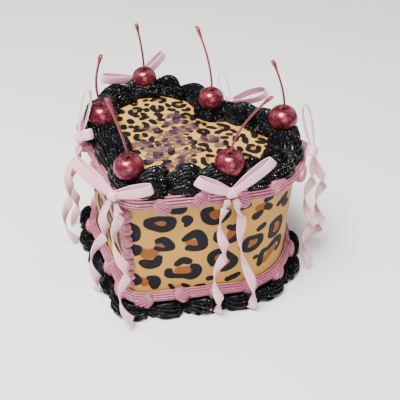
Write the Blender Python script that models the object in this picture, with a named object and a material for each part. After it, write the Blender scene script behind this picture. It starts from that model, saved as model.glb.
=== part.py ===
"""A tall heart-shaped celebration cake with piped borders, cherries on stems and ribbon bows.

Lengths are in metres and +Z is up. The cake stands on z = 0, the heart's tip points to -Y and its
cleft to +Y, and x = 0 is the line between its two lobes.
"""
import math
import random

import bmesh
import bpy
from mathutils import Matrix, Vector

# Colour, roughness and metallic value of each surface
SURFACES = {
    "printed sheet": ((0.58, 0.40, 0.20), 0.55, 0.0),
    "black cream": ((0.012, 0.013, 0.016), 0.35, 0.0),
    "pink cream": ((0.62, 0.25, 0.33), 0.45, 0.0),
    "glazed cherry": ((0.30, 0.03, 0.05), 0.25, 0.3),
    "satin ribbon": ((0.72, 0.50, 0.56), 0.35, 0.0),
}

# Cake: two straight sides that meet at a rounded tip, and two round lobes
WALL_HEIGHT = 0.110
LOBE_RADIUS = 0.0533
LOBE_SPREAD = 0.0294          # each lobe's centre from the line x = 0
TIP_HALF_ANGLE = math.radians(52.4)
TIP_ROUND = 0.012
LEAST_ROUND = 0.002           # the sharpest that a line inside the wall turns at the tip
TOP_EDGE_ROUND = 0.002
LOBE_FACES = 22
GAP = 0.0003                  # between bodies that touch

# Piped shells swell quickly at the head and sink slowly to the tail
SHELL_HEAD = 0.62
SHELL_FULLNESS = 0.8
RIDGE_DEPTH = 0.13            # of the cream's own radius

# Black shell border on top, measured outwards from the wall
TOP_SHELLS = 8                # on each half of the heart
TOP_SHELL_MIDDLE = -0.0088
TOP_SHELL_WIDTH = (0.0208, 0.0280)    # between two shells, and across one
TOP_SHELL_HEIGHT = (0.0054, 0.0126)
TOP_SHELL_RIDGES = 6
TOP_SHELL_STEPS = (0.0, 0.17, 0.36, 0.56, 0.76, 0.92)
# How full each shell is from the tip to the cleft, on the right half and on the left half
TOP_SHELL_SIZES = {1: (0.90, 0.88, 1.0, 1.05, 1.0, 0.80, 0.62, 0.70),
                   -1: (1.0, 0.95, 1.05, 0.92, 1.0, 1.20, 1.25, 1.05)}

# Black shell border round the foot
FOOT_SHELLS = 9
FOOT_SHELL_REACH = (0.0112, 0.0178)
FOOT_SHELL_HEIGHT = (0.0064, 0.0116)
FOOT_SHELL_RIDGES = 4
FOOT_SHELL_STEPS = (-0.24, 0.0, 0.22, 0.48)
FOOT_SHELL_START = 0.33       # of a shell, from the tip to the first waist
FOOT_SHELL_UNEVEN = (0.85, 1.06)
FOOT_LEDGE = 0.0058           # height of the black cream that the pink rope lies on
CREST_CLEARANCE = 0.0008      # from the pink rope to the black crest in front of it

# Pink ropes with knobs, one under the top edge and one on the black foot border, where each knob
# sits over a waist between two shells
ROPE_KNOBS = 9
TOP_ROPE_START = 0.80         # of the way between two knobs, from the tip to the first one
FOOT_ROPE_START = FOOT_SHELL_START
KNOB_HALF = 0.32              # of the way from one knob to the next
KNOB_LIFT = 0.0012            # knobs sit in turn this much above and below the rope
ROPE_REACH = (0.0064, 0.0094)
ROPE_RIDGES = 3
ROPE_STEPS = (-0.5, -0.26, -0.08, 0.08, 0.26)
TOP_ROPE_MIDDLE = 0.1030
TOP_ROPE_HALF = (0.0056, 0.0074)
FOOT_ROPE_MIDDLE = 0.0118
FOOT_ROPE_HALF = (0.0054, 0.0080)

# Pink piping up the tip's corner
CORNER_FROM, CORNER_TO = -0.0078, 0.0012      # along the wall from the tip
CORNER_DEPTH = (0.0026, 0.0042)
CORNER_BEAD = 0.0072
CORNER_END_GAP = 0.0012
CORNER_FACES = 4

# Cherries: place on top, radius, how high the stem rises, how far its end leans across the heart
# and to its cleft, and how far it bows sideways out of its straight line
CHERRY_MIDDLE_Z = 0.1215
CHERRY_SQUASH = 0.94
CHERRIES = {
    "tip": (-0.0062, -0.0592, 0.0104, 0.043, -0.010, -0.005, 0.003),
    "side_right": (0.0498, -0.0220, 0.0106, 0.043, 0.020, 0.010, 0.002),
    "side_left": (-0.0586, -0.0140, 0.0102, 0.041, 0.004, -0.001, -0.004),
    "lobe_right": (0.0598, 0.0505, 0.0104, 0.038, -0.011, -0.006, 0.0015),
    "lobe_left": (-0.0630, 0.0530, 0.0100, 0.039, -0.004, -0.003, 0.001),
    "cleft": (0.0, 0.0500, 0.0101, 0.044, -0.019, 0.009, -0.001),
}
CHERRY_SIDES = 12
CHERRY_LEVELS = 8
DIMPLE_DEPTH = 0.0022
SHOULDER_SINK = 0.0007        # of the fruit's last ring outside the dimple
STEM_STATIONS = 6
STEM_RADIUS = 0.0010
STEM_END_RADIUS = 0.0019
STEM_LEAN_CURVE = 1.6
SOCKET_CLEARANCE = 0.0008     # round a cherry, in the cream that it's pressed into
SOCKET_SIDES, SOCKET_LEVELS = 14, 8

# Ribbon, and the knot's half sizes along the wall, out of it and up
RIBBON_WIDTH = 0.0068
RIBBON_THICK = 0.0005
KNOT_SIZE = (0.0052, 0.0040, 0.0046)
KNOT_PROFILE = ((-1.0, 0.55), (-0.62, 0.92), (0.0, 1.0), (0.62, 0.92), (1.0, 0.55))
KNOT_SIDES = 8
LOOP_MOUTH = 0.0009           # half the distance between a loop's two ends in the knot
LOOP_STATIONS = 10
LOOP_POINTED = 0.85
LOOP_BELLY = 2.2
LOOP_PINCH = 0.55             # share of its width that the ribbon has in the knot
LOOP_WIDENING = 1.6
TAIL_STATIONS = 25
TAIL_START_WIDTH = 0.0036
TAIL_SPLIT = 0.0027           # a tail's start from the knot's middle
TAIL_SETTLE = 0.15            # share of a tail over which it turns from the knot into its curl
TAIL_SPREAD = 1.5
CURL_OPENS = 0.2              # share of a tail over which its curl opens
CURL_CLOSES = 0.85            # and from which it closes again, to this much at the foot
CURL_AT_FOOT = 0.62

# Bows: side of the heart, place from tip to cleft, offset from the wall, height, loops and tails.
# A loop is its length, its rise and roll in degrees, its lean out of the wall and its half opening.
# A tail is its side of the knot, its foot, how far it bellies out between them, its curl's radius,
# its turns and the turn in degrees that it starts at.
BOWS = {
    "tip": {
        "place": (-1, 0.0121, 0.0110, 0.1125),
        "loops": [(0.0330, 143, 30, 0.25, 0.0035), (0.0270, 20, 10, -0.72, 0.0030)],
        "tails": [(-1, (-0.0333, -0.0752, 0.0015), 0.0, 0.0034, 1.8, -89),
                  (1, (0.0080, -0.0910, 0.0040), 0.002, 0.0038, 2.05, 116)],
    },
    "side_right": {
        "place": (1, 0.277, 0.0105, 0.1125),
        "loops": [(0.0275, 151, 0, 0.04, 0.0030), (0.0350, 44, 0, 0.02, 0.0028)],
        "tails": [(-1, (0.0604, -0.0502, 0.0020), 0.0, 0.0030, 2.1, 115),
                  (1, (0.0815, -0.0340, 0.0030), 0.0, 0.0030, 1.25, 67)],
    },
    "side_left": {
        "place": (-1, 0.300, 0.0095, 0.1120),
        "loops": [(0.0206, 38, 0, -0.19, 0.0045), (0.0360, 115, 0, -0.42, 0.0030)],
        "tails": [(-1, (-0.0938, -0.0190, 0.0020), 0.0, 0.0032, 1.7, 60),
                  (1, (-0.0815, -0.0345, 0.0020), 0.009, 0.0034, 1.6, 250)],
    },
    "lobe_right": {
        "place": (1, 0.5975, 0.0106, 0.1115),
        "loops": [(0.0340, 72, 0, -0.42, 0.0030), (0.0200, 147, 0, 0.06, 0.0042)],
        "tails": [(-1, (0.1035, 0.0336, 0.0015), 0.0, 0.0034, 2.4, -105),
                  (1, (0.0955, 0.0560, 0.0015), 0.009, 0.0040, 2.0, -144)],
    },
    "lobe_left": {
        "place": (-1, 0.710, 0.0110, 0.1130),
        "loops": [(0.0345, 15, 0, 0.06, 0.0040), (0.0310, 146, 0, 0.02, 0.0030)],
        "tails": [(-1, (-0.0725, 0.0795, 0.0020), 0.0, 0.0032, 2.1, 150),
                  (1, (-0.0860, 0.0680, 0.0020), 0.004, 0.0034, 1.7, 30)],
    },
    "cleft": {
        "place": (1, 0.986, 0.0140, 0.1060),
        "loops": [(0.0250, 61, 80, 0.12, 0.0035), (0.0330, 154, 60, 0.25, 0.0055)],
        "tails": [(-1, (0.0130, 0.0925, 0.0020), 0.0, 0.0030, 2.2, 200),
                  (1, (-0.0080, 0.0915, 0.0020), 0.003, 0.0032, 1.8, 20)],
    },
}

# The heart's half outline: an arc at the tip, a straight side and a lobe's arc. The apex is where
# the two sides would meet, placed so that the wall's length is centred on y = 0.
TIP_TURN = math.pi / 2 - TIP_HALF_ANGLE
LOBE_ABOVE_APEX = (LOBE_SPREAD * math.cos(TIP_HALF_ANGLE) + LOBE_RADIUS) / math.sin(TIP_HALF_ANGLE)
TIP_ABOVE_APEX = TIP_ROUND / math.sin(TIP_HALF_ANGLE) - TIP_ROUND
APEX_Y = -(LOBE_ABOVE_APEX + LOBE_RADIUS + TIP_ABOVE_APEX) / 2
LOBE_Y = APEX_Y + LOBE_ABOVE_APEX
TIP_ARC = TIP_ROUND * TIP_TURN
SIDE_FROM_APEX = (LOBE_SPREAD + LOBE_RADIUS * math.cos(TIP_HALF_ANGLE)) / math.sin(TIP_HALF_ANGLE)
SIDE_LENGTH = SIDE_FROM_APEX - TIP_ROUND / math.tan(TIP_HALF_ANGLE)
LOBE_ARC = LOBE_RADIUS * (math.acos(-LOBE_SPREAD / LOBE_RADIUS) + TIP_HALF_ANGLE)
HALF_LENGTH = TIP_ARC + SIDE_LENGTH + LOBE_ARC
TIP_END = TIP_ARC / HALF_LENGTH
SIDE_END = (TIP_ARC + SIDE_LENGTH) / HALF_LENGTH


# A bow is modelled round its knot's middle, in these directions
OUT = Vector((1, 0, 0))
ALONG = Vector((0, 1, 0))
UP = Vector((0, 0, 1))


def mix(pair, amount):
    return pair[0] + (pair[1] - pair[0]) * amount


def polar(centre_x, centre_y, radius, angle):
    return centre_x + radius * math.cos(angle), centre_y + radius * math.sin(angle)


def heart_point(side, part, offset):
    """Point of the line at an offset outside the wall, from the tip (part 0) to the cleft (part 1)."""
    tip_radius = max(TIP_ROUND + offset, LEAST_ROUND)
    tip_centre_y = APEX_Y + (tip_radius - offset) / math.sin(TIP_HALF_ANGLE)
    reach = LOBE_RADIUS + offset
    if part < TIP_END:
        x, y = polar(0.0, tip_centre_y, tip_radius, TIP_TURN * part / TIP_END - math.pi / 2)
    elif part < SIDE_END:
        share = (part - TIP_END) / (SIDE_END - TIP_END)
        start = polar(0.0, tip_centre_y, tip_radius, -TIP_HALF_ANGLE)
        end = polar(LOBE_SPREAD, LOBE_Y, reach, -TIP_HALF_ANGLE)
        x, y = mix((start[0], end[0]), share), mix((start[1], end[1]), share)
    else:
        share = (part - SIDE_END) / (1.0 - SIDE_END)
        cleft_angle = math.acos(max(-1.0, -LOBE_SPREAD / reach))
        x, y = polar(LOBE_SPREAD, LOBE_Y, reach, mix((-TIP_HALF_ANGLE, cleft_angle), share))
    if part in (0.0, 1.0):
        x = 0.0
    return Vector((side * x, y))


def along_wall(distance, offset):
    """Point at a distance along the wall from the tip, to the left where it's negative."""
    return heart_point(-1 if distance < 0 else 1, abs(distance) / HALF_LENGTH, offset)


def make_material(name):
    """Plain surface with its colour, roughness and metallic value."""
    colour, roughness, metallic = SURFACES[name]
    material = bpy.data.materials.new(name)
    material.use_nodes = True
    shader = material.node_tree.nodes["Principled BSDF"]
    shader.inputs["Base Color"].default_value = (*colour, 1.0)
    shader.inputs["Roughness"].default_value = roughness
    shader.inputs["Metallic"].default_value = metallic
    return material


def add_body(name, points, faces, material):
    """Closed body from points and faces, its faces turned outwards and its skin shaded smooth."""
    mesh = bpy.data.meshes.new(name)
    mesh.from_pydata([tuple(p) for p in points], [], faces)
    work = bmesh.new()
    work.from_mesh(mesh)
    bmesh.ops.recalc_face_normals(work, faces=work.faces)
    for face in work.faces:
        face.smooth = len(face.verts) < 5
    work.to_mesh(mesh)
    work.free()
    mesh.materials.append(material)
    body = bpy.data.objects.new(name, mesh)
    bpy.context.scene.collection.objects.link(body)
    return body


def loft(rings, closed):
    """Points and faces of a skin through rings of points; a closed one joins its last ring to its first."""
    count = len(rings[0])
    points = [p for ring in rings for p in ring]
    faces = []
    for row in range(len(rings) if closed else len(rings) - 1):
        here, there = row * count, (row + 1) % len(rings) * count
        for k in range(count):
            n = (k + 1) % count
            faces.append((here + k, here + n, there + n, there + k))
    if not closed:
        faces.append(tuple(range(count)))
        faces.append(tuple(range((len(rings) - 1) * count, len(rings) * count)))
    return points, faces


def apply_boolean(body, operation, pieces):
    """Join bodies to this one or cut them out of it, and remove them."""
    holder = bpy.data.collections.new("pieces")
    bpy.context.scene.collection.children.link(holder)
    for piece in pieces:
        piece.hide_render = True
        piece.display_type = "WIRE"
        bpy.context.scene.collection.objects.unlink(piece)
        holder.objects.link(piece)
    modifier = body.modifiers.new("pieces", "BOOLEAN")
    modifier.operation = operation
    modifier.solver = "EXACT"
    modifier.operand_type = "COLLECTION"
    modifier.collection = holder
    shown = body.evaluated_get(bpy.context.evaluated_depsgraph_get())
    mesh = bpy.data.meshes.new_from_object(shown)
    body.modifiers.clear()
    body.data = mesh
    for piece in pieces:
        bpy.data.objects.remove(piece)
    bpy.data.collections.remove(holder)


def both_halves(parts):
    """Stations round the whole heart: up the right half from the tip and back down the left half."""
    right = [(1, part) for part in parts]
    left = [(-1, part) for part in reversed(parts[1:-1])]
    return right + left


def border_stations(count, start, steps):
    """Stations that turn closely round the tip and have the same steps round each waist or knob."""
    close = [0.0, TIP_END / 2, TIP_END]
    parts = [(place + start + step) / count for place in range(count + 1) for step in steps]
    return both_halves(close + [part for part in parts if TIP_END * 1.15 < part < 0.998] + [1.0])


def border(name, stations, section, material):
    """Body that goes once round the heart, with its section given as (offset, z) pairs."""
    rings = []
    for side, part in stations:
        rings.append([(*heart_point(side, part, offset), z) for offset, z in section(side, part)])
    return add_body(name, *loft(rings, closed=True), material)


def ridge(step):
    """Radius factor of a ridged skin's point: ridges on odd steps, valleys on even ones."""
    return 1.0 if step % 2 else 1.0 - RIDGE_DEPTH


def shell_swell(part, count, start, sizes):
    """How swollen a border is at a place; each shell's head is at its end nearer the cleft."""
    place = part * count - start
    shell = min(math.floor(place), count - 1)
    from_head = 1.0 - (place - shell)
    return abs(math.sin(math.pi * from_head ** SHELL_HEAD)) ** SHELL_FULLNESS * sizes[shell]


def knob_swell(side, part, start):
    """Swell of the rope at a place, and how far its knob sits up or down, from -1 to 1."""
    place = part * ROPE_KNOBS - start
    knob = min(max(round(place), 0), ROPE_KNOBS - 1)
    near = max(0.0, 1.0 - abs(place - knob) / KNOB_HALF)
    swell = near * near * (3 - 2 * near)
    lift = 1 if (knob + (side < 0)) % 2 else -1
    return swell, lift * swell


def top_shell_section(side, part):
    """Mound of ridged cream with a flat underside."""
    swell = shell_swell(part, TOP_SHELLS, 0.0, TOP_SHELL_SIZES[side])
    half = mix(TOP_SHELL_WIDTH, swell) / 2
    height = mix(TOP_SHELL_HEIGHT, swell)
    steps = 2 * TOP_SHELL_RIDGES
    ring = []
    for step in range(steps + 1):
        angle = math.pi * step / steps
        radius = 1.0 if step in (0, steps) else ridge(step)
        z = WALL_HEIGHT + GAP + height * radius * math.sin(angle) ** SHELL_FULLNESS
        ring.append((TOP_SHELL_MIDDLE + half * radius * math.cos(angle), z))
    return ring


def foot_shell_section(sizes):
    """Ledge under the pink rope, then a ridged crest that falls to the floor."""
    def section(side, part):
        swell = shell_swell(part, FOOT_SHELLS, FOOT_SHELL_START, sizes[side])
        inner = mix(ROPE_REACH, knob_swell(side, part, FOOT_ROPE_START)[0]) + CREST_CLEARANCE
        outer = mix(FOOT_SHELL_REACH, swell)
        height = mix(FOOT_SHELL_HEIGHT, swell)
        middle, half = (inner + outer) / 2, (outer - inner) / 2
        ring = [(GAP, 0.0), (GAP, FOOT_LEDGE), (inner, FOOT_LEDGE)]
        steps = 2 * FOOT_SHELL_RIDGES
        for step in range(1, steps):
            angle = math.pi * (1 - step / steps)
            radius = ridge(step + 1)
            base = FOOT_LEDGE * (1 - step / steps)
            rise = (height - base) * radius * math.sin(angle) ** SHELL_FULLNESS
            ring.append((middle + half * radius * math.cos(angle), base + rise))
        return ring + [(outer, 0.0)]
    return section


def rope_section(start, middle, halves, lowest, highest):
    """Ridged half rope against the wall, cut flat where it meets its neighbour."""
    def section(side, part):
        swell, lift = knob_swell(side, part, start)
        reach = mix(ROPE_REACH, swell) - GAP
        half = mix(halves, swell)
        steps = 2 * ROPE_RIDGES
        ring = []
        for step in range(steps + 1):
            angle = math.pi * (step / steps - 0.5)
            radius = 1.0 if step in (0, steps) else ridge(step)
            z = middle + KNOB_LIFT * lift + half * radius * math.sin(angle)
            out = 0.0 if step in (0, steps) else reach * radius * math.cos(angle)
            ring.append((GAP + out, min(max(z, lowest), highest)))
        return ring
    return section


def make_cake(material):
    """Solid heart with a small round along its top edge."""
    lobe = [mix((SIDE_END, 1.0), k / LOBE_FACES) for k in range(LOBE_FACES + 1)]
    stations = both_halves([0.0, TIP_END / 2, TIP_END, (TIP_END + SIDE_END) / 2] + lobe)
    rings = []
    for offset, z in ((0.0, 0.0), (0.0, WALL_HEIGHT - TOP_EDGE_ROUND), (-TOP_EDGE_ROUND, WALL_HEIGHT)):
        rings.append([(*heart_point(side, part, offset), z) for side, part in stations])
    return add_body("cake", *loft(rings, closed=False), material)


def make_top_black_border(material):
    """Shells round the top, hollowed where the cherries are pressed in."""
    stations = border_stations(TOP_SHELLS, 0.0, TOP_SHELL_STEPS)
    shells = border("top_black_border", stations, top_shell_section, material)
    sockets = []
    for x, y, radius, *_ in CHERRIES.values():
        mesh = bpy.data.meshes.new("socket")
        work = bmesh.new()
        bmesh.ops.create_uvsphere(work, u_segments=SOCKET_SIDES, v_segments=SOCKET_LEVELS,
                                  radius=radius + SOCKET_CLEARANCE)
        bmesh.ops.translate(work, verts=work.verts, vec=(x, y, CHERRY_MIDDLE_Z))
        work.to_mesh(mesh)
        work.free()
        socket = bpy.data.objects.new("socket", mesh)
        bpy.context.scene.collection.objects.link(socket)
        sockets.append(socket)
    apply_boolean(shells, "DIFFERENCE", sockets)
    return shells


def make_foot_black_border(material):
    """Shells round the foot, each a little fuller or slighter than the next."""
    draw = random.Random(3)
    sizes = {side: [draw.uniform(*FOOT_SHELL_UNEVEN) for _ in range(FOOT_SHELLS)] for side in (1, -1)}
    stations = border_stations(FOOT_SHELLS, FOOT_SHELL_START, FOOT_SHELL_STEPS)
    return border("foot_black_border", stations, foot_shell_section(sizes), material)


def make_pink_ropes(material):
    """One rope under the top edge and one that lies on the black foot border."""
    top = rope_section(TOP_ROPE_START, TOP_ROPE_MIDDLE, TOP_ROPE_HALF, 0.0, WALL_HEIGHT - GAP)
    foot = rope_section(FOOT_ROPE_START, FOOT_ROPE_MIDDLE, FOOT_ROPE_HALF, FOOT_LEDGE + GAP, WALL_HEIGHT)
    border("top_pink_rope", border_stations(ROPE_KNOBS, TOP_ROPE_START, ROPE_STEPS), top, material)
    border("foot_pink_rope", border_stations(ROPE_KNOBS, FOOT_ROPE_START, ROPE_STEPS), foot, material)


def make_corner_piping(material):
    """Short beads of cream up the wall's corner, between the two pink ropes."""
    low = FOOT_ROPE_MIDDLE + FOOT_ROPE_HALF[1] + KNOB_LIFT + GAP
    high = TOP_ROPE_MIDDLE - TOP_ROPE_HALF[0] - CORNER_END_GAP
    rows = 2 * round((high - low) / CORNER_BEAD)
    rings = []
    for row in range(rows + 1):
        z = mix((low, high), row / rows)
        ring = []
        for step in range(CORNER_FACES + 1):
            share = step / CORNER_FACES
            out = GAP + CORNER_DEPTH[row % 2] * math.sin(math.pi * share)
            ring.append((*along_wall(mix((CORNER_FROM, CORNER_TO), share), out), z))
        for step in range(CORNER_FACES - 1, 0, -1):
            ring.append((*along_wall(mix((CORNER_FROM, CORNER_TO), step / CORNER_FACES), GAP), z))
        rings.append(ring)
    return add_body("corner_piping", *loft(rings, closed=False), material)


def make_cherry(name, size, material):
    """Round fruit with a dimple, whose skin runs on up a curved stem."""
    x, y, radius, rise, lean_x, lean_y, bend = size

    def ring(middle, ring_radius):
        angles = [2 * math.pi * k / CHERRY_SIDES for k in range(CHERRY_SIDES)]
        return [middle + Vector((ring_radius * math.cos(a), ring_radius * math.sin(a), 0)) for a in angles]

    rings = []
    for level in range(1, CHERRY_LEVELS):
        angle = math.pi * (level / CHERRY_LEVELS - 0.5)
        z = radius * CHERRY_SQUASH * math.sin(angle)
        if level == CHERRY_LEVELS - 1:
            z -= SHOULDER_SINK
        rings.append(ring(UP * z, radius * math.cos(angle)))
    lean = Vector((lean_x, lean_y, 0.0))
    sideways = Vector((-lean_y, lean_x, 0.0)).normalized() * bend
    dimple_z = radius * CHERRY_SQUASH - DIMPLE_DEPTH
    for station in range(STEM_STATIONS):
        share = station / (STEM_STATIONS - 1)
        middle = UP * (dimple_z + rise * share) + lean * share ** STEM_LEAN_CURVE
        middle += sideways * math.sin(math.pi * share)
        last = station == STEM_STATIONS - 1
        rings.append(ring(middle, STEM_END_RADIUS if last else STEM_RADIUS))
    cherry = add_body(name, *loft(rings, closed=False), material)
    cherry.location = (x, y, CHERRY_MIDDLE_Z)
    return cherry


def strip_rings(points, widths, faces_out):
    """Sections of a flat ribbon along points, its width square to its run and to where its face looks."""
    rings = []
    last = len(points) - 1
    for k, point in enumerate(points):
        run = (points[min(k + 1, last)] - points[max(k - 1, 0)]).normalized()
        across = run.cross(faces_out[k]).normalized()
        half, thick = across * widths[k] / 2, across.cross(run) * RIBBON_THICK / 2
        rings.append([point - half - thick, point + half - thick, point + half + thick, point - half + thick])
    return rings


def add_strip(name, rings, material):
    """Thin body of a ribbon; its two faces are split into triangles alike, so it can't cross itself."""
    points = [p for ring in rings for p in ring]
    last = 4 * (len(rings) - 1)
    faces = [(0, 1, 2, 3), (last, last + 3, last + 2, last + 1)]
    for a in range(0, last, 4):
        b = a + 4
        faces += [(a, a + 1, b + 1), (a, b + 1, b)]
        faces += [(a + 3, b + 2, a + 2), (a + 3, b + 3, b + 2)]
        faces += [(a + 1, a + 2, b + 2, b + 1), (a + 3, a, b, b + 3)]
    return add_body(name, points, faces, material)


def loop_rings(loop):
    """Ribbon from the knot round a long loop and back to the knot."""
    length, rise, roll, lean, opening = loop
    rise, roll = math.radians(rise), math.radians(roll)
    run = (ALONG * math.cos(rise) + UP * math.sin(rise) + OUT * lean).normalized()
    face = Matrix.Rotation(roll, 3, run) @ (OUT - run * OUT.dot(run)).normalized()
    points, widths = [], []
    last = LOOP_STATIONS - 1
    for k in range(LOOP_STATIONS):
        turn = 2 * math.pi * k / last
        reach = length * (0.5 - 0.5 * math.cos(turn)) ** LOOP_POINTED
        bulge = opening * LOOP_BELLY * math.sin(turn / 2) ** 2
        points.append(run * reach + face * (LOOP_MOUTH + bulge) * math.cos(turn / 2))
        from_knot = min(k, last - k) / LOOP_STATIONS
        widths.append(RIBBON_WIDTH * min(1.0, LOOP_PINCH + LOOP_WIDENING * from_knot))
    across = run.cross(face)
    faces_out = [(points[min(k + 1, last)] - points[max(k - 1, 0)]).cross(across) for k in range(last + 1)]
    return strip_rings(points, widths, faces_out)


def knot_rings():
    """Small pillow of wound ribbon."""
    rings = []
    for place, size in KNOT_PROFILE:
        ring = []
        for k in range(KNOT_SIDES):
            angle = 2 * math.pi * (k + 0.5) / KNOT_SIDES
            ring.append(ALONG * KNOT_SIZE[0] * place
                        + OUT * KNOT_SIZE[1] * size * math.cos(angle)
                        + UP * KNOT_SIZE[2] * size * math.sin(angle))
        rings.append(ring)
    return rings


def tail_route(tail, knot_place):
    """Centre points of a curled tail, and where its face looks at each."""
    start_side, foot, belly, curl, turns, phase = tail
    start = ALONG * TAIL_SPLIT * start_side - UP * (KNOT_SIZE[2] + GAP + RIBBON_THICK)
    way = knot_place.inverted() @ Vector(foot) - start
    points, faces_out = [], []
    for k in range(TAIL_STATIONS):
        share = k / (TAIL_STATIONS - 1)
        angle = math.radians(phase) + 2 * math.pi * turns * share
        radial = OUT * math.cos(angle) + ALONG * math.sin(angle)
        closing = max(0.0, share - CURL_CLOSES) / (1.0 - CURL_CLOSES)
        radius = curl * min(1.0, share / CURL_OPENS) * mix((1.0, CURL_AT_FOOT), closing)
        point = start + ALONG * way.y * (1 - (1 - share) ** TAIL_SPREAD)
        point += OUT * (way.x * share + belly * math.sin(math.pi * share))
        point += UP * way.z * share + radial * radius
        points.append(point)
        settled = min(1.0, share / TAIL_SETTLE)
        faces_out.append(radial * settled + OUT * (1.0 - settled))
    return points, faces_out


def make_bow(place, bow, material):
    """Knot and two loops joined into one body, and two tails that start just under the knot."""
    side, part, offset, z = bow["place"]
    here = heart_point(side, part, offset)
    out_of_wall = here - heart_point(side, part, 0.0)
    turn = Matrix.Rotation(math.atan2(out_of_wall.y, out_of_wall.x), 4, "Z")
    knot_place = Matrix.Translation((here.x, here.y, z)) @ turn
    empty = bpy.data.objects.new(f"{place}_bow_place", None)
    empty.matrix_world = knot_place
    bpy.context.scene.collection.objects.link(empty)

    body = add_body(f"bow_{place}", *loft(knot_rings(), closed=False), material)
    loops = [add_strip("loop", loop_rings(loop), material) for loop in bow["loops"]]
    apply_boolean(body, "UNION", loops)
    body.parent = empty
    for letter, tail in zip("ab", bow["tails"]):
        points, faces_out = tail_route(tail, knot_place)
        widths = [mix((TAIL_START_WIDTH, RIBBON_WIDTH), min(1.0, k / 2)) for k in range(TAIL_STATIONS)]
        strip = add_strip(f"tail_{place}_{letter}", strip_rings(points, widths, faces_out), material)
        strip.parent = empty


def main():
    for thing in list(bpy.data.objects):
        bpy.data.objects.remove(thing)
    surfaces = {name: make_material(name) for name in SURFACES}
    make_cake(surfaces["printed sheet"])
    make_top_black_border(surfaces["black cream"])
    make_foot_black_border(surfaces["black cream"])
    make_pink_ropes(surfaces["pink cream"])
    make_corner_piping(surfaces["pink cream"])
    for place, size in CHERRIES.items():
        make_cherry(f"cherry_{place}", size, surfaces["glazed cherry"])
    for place, bow in BOWS.items():
        make_bow(place, bow, surfaces["satin ribbon"])


main()
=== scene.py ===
import math
import random

import bmesh
import bpy
import numpy as np
from mathutils import Matrix, Vector


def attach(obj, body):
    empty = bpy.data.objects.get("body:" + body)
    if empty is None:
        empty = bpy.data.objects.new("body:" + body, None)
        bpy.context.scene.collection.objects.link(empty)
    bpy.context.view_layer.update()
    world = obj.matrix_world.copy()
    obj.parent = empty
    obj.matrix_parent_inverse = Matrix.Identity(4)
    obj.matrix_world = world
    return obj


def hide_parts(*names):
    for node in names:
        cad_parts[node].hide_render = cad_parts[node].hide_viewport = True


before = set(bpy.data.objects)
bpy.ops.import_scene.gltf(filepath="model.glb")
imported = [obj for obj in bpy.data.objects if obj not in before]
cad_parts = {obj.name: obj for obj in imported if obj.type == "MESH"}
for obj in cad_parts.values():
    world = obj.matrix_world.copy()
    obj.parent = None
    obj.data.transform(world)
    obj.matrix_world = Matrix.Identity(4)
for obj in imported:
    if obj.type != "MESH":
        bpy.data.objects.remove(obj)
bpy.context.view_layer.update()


# The cake is a tall heart of filled sponge, wrapped in a smooth printed edible sheet. The sheet's
# print is a leopard pattern: large broken rings with brown middles round the wall, and the same
# pattern at half the size on top, under streaks of mauve glitter brushed over its middle.
WALL_HEIGHT = 0.110
LOBE_RADIUS = 0.0533
LOBE_SPREAD = 0.0294
TIP_HALF_ANGLE = math.radians(52.4)
TIP_ROUND = 0.012
LEAST_ROUND = 0.002
CLEFT_DEPTH = 0.0175
TIP_TURN = math.pi / 2 - TIP_HALF_ANGLE
LOBE_ABOVE_APEX = (LOBE_SPREAD * math.cos(TIP_HALF_ANGLE) + LOBE_RADIUS) / math.sin(TIP_HALF_ANGLE)
TIP_ABOVE_APEX = TIP_ROUND / math.sin(TIP_HALF_ANGLE) - TIP_ROUND
APEX_Y = -(LOBE_ABOVE_APEX + LOBE_RADIUS + TIP_ABOVE_APEX) / 2
LOBE_Y = APEX_Y + LOBE_ABOVE_APEX
TIP_ARC = TIP_ROUND * TIP_TURN
SIDE_FROM_APEX = (LOBE_SPREAD + LOBE_RADIUS * math.cos(TIP_HALF_ANGLE)) / math.sin(TIP_HALF_ANGLE)
SIDE_LENGTH = SIDE_FROM_APEX - TIP_ROUND / math.tan(TIP_HALF_ANGLE)
LOBE_ARC = LOBE_RADIUS * (math.acos(-LOBE_SPREAD / LOBE_RADIUS) + TIP_HALF_ANGLE)
HALF_LENGTH = TIP_ARC + SIDE_LENGTH + LOBE_ARC
GAP = 0.0003
MM = 0.001


def mix(pair, amount):
    return pair[0] + (pair[1] - pair[0]) * amount


def heart_line(distance, offset):
    """Point at a distance along the wall from the tip (left is negative) and an offset out of it."""
    side = -1.0 if distance < 0 else 1.0
    run = min(abs(distance), HALF_LENGTH)
    tip_radius = max(TIP_ROUND + offset, LEAST_ROUND)
    tip_y = APEX_Y + (tip_radius - offset) / math.sin(TIP_HALF_ANGLE)
    reach = LOBE_RADIUS + offset
    if run < TIP_ARC:
        angle = TIP_TURN * run / TIP_ARC - math.pi / 2
        x, y = tip_radius * math.cos(angle), tip_y + tip_radius * math.sin(angle)
    elif run < TIP_ARC + SIDE_LENGTH:
        share = (run - TIP_ARC) / SIDE_LENGTH
        cos, sin = math.cos(-TIP_HALF_ANGLE), math.sin(-TIP_HALF_ANGLE)
        x = mix((tip_radius * cos, LOBE_SPREAD + reach * cos), share)
        y = mix((tip_y + tip_radius * sin, LOBE_Y + reach * sin), share)
    else:
        share = (run - TIP_ARC - SIDE_LENGTH) / LOBE_ARC
        other_lobe = math.acos(max(-1.0, -LOBE_SPREAD / reach))
        blunt_edge = math.pi - math.asin(min(1.0, CLEFT_DEPTH / reach))
        angle = mix((-TIP_HALF_ANGLE, min(other_lobe, blunt_edge)), share)
        x, y = LOBE_SPREAD + reach * math.cos(angle), LOBE_Y + reach * math.sin(angle)
    return side * x, y


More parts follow.
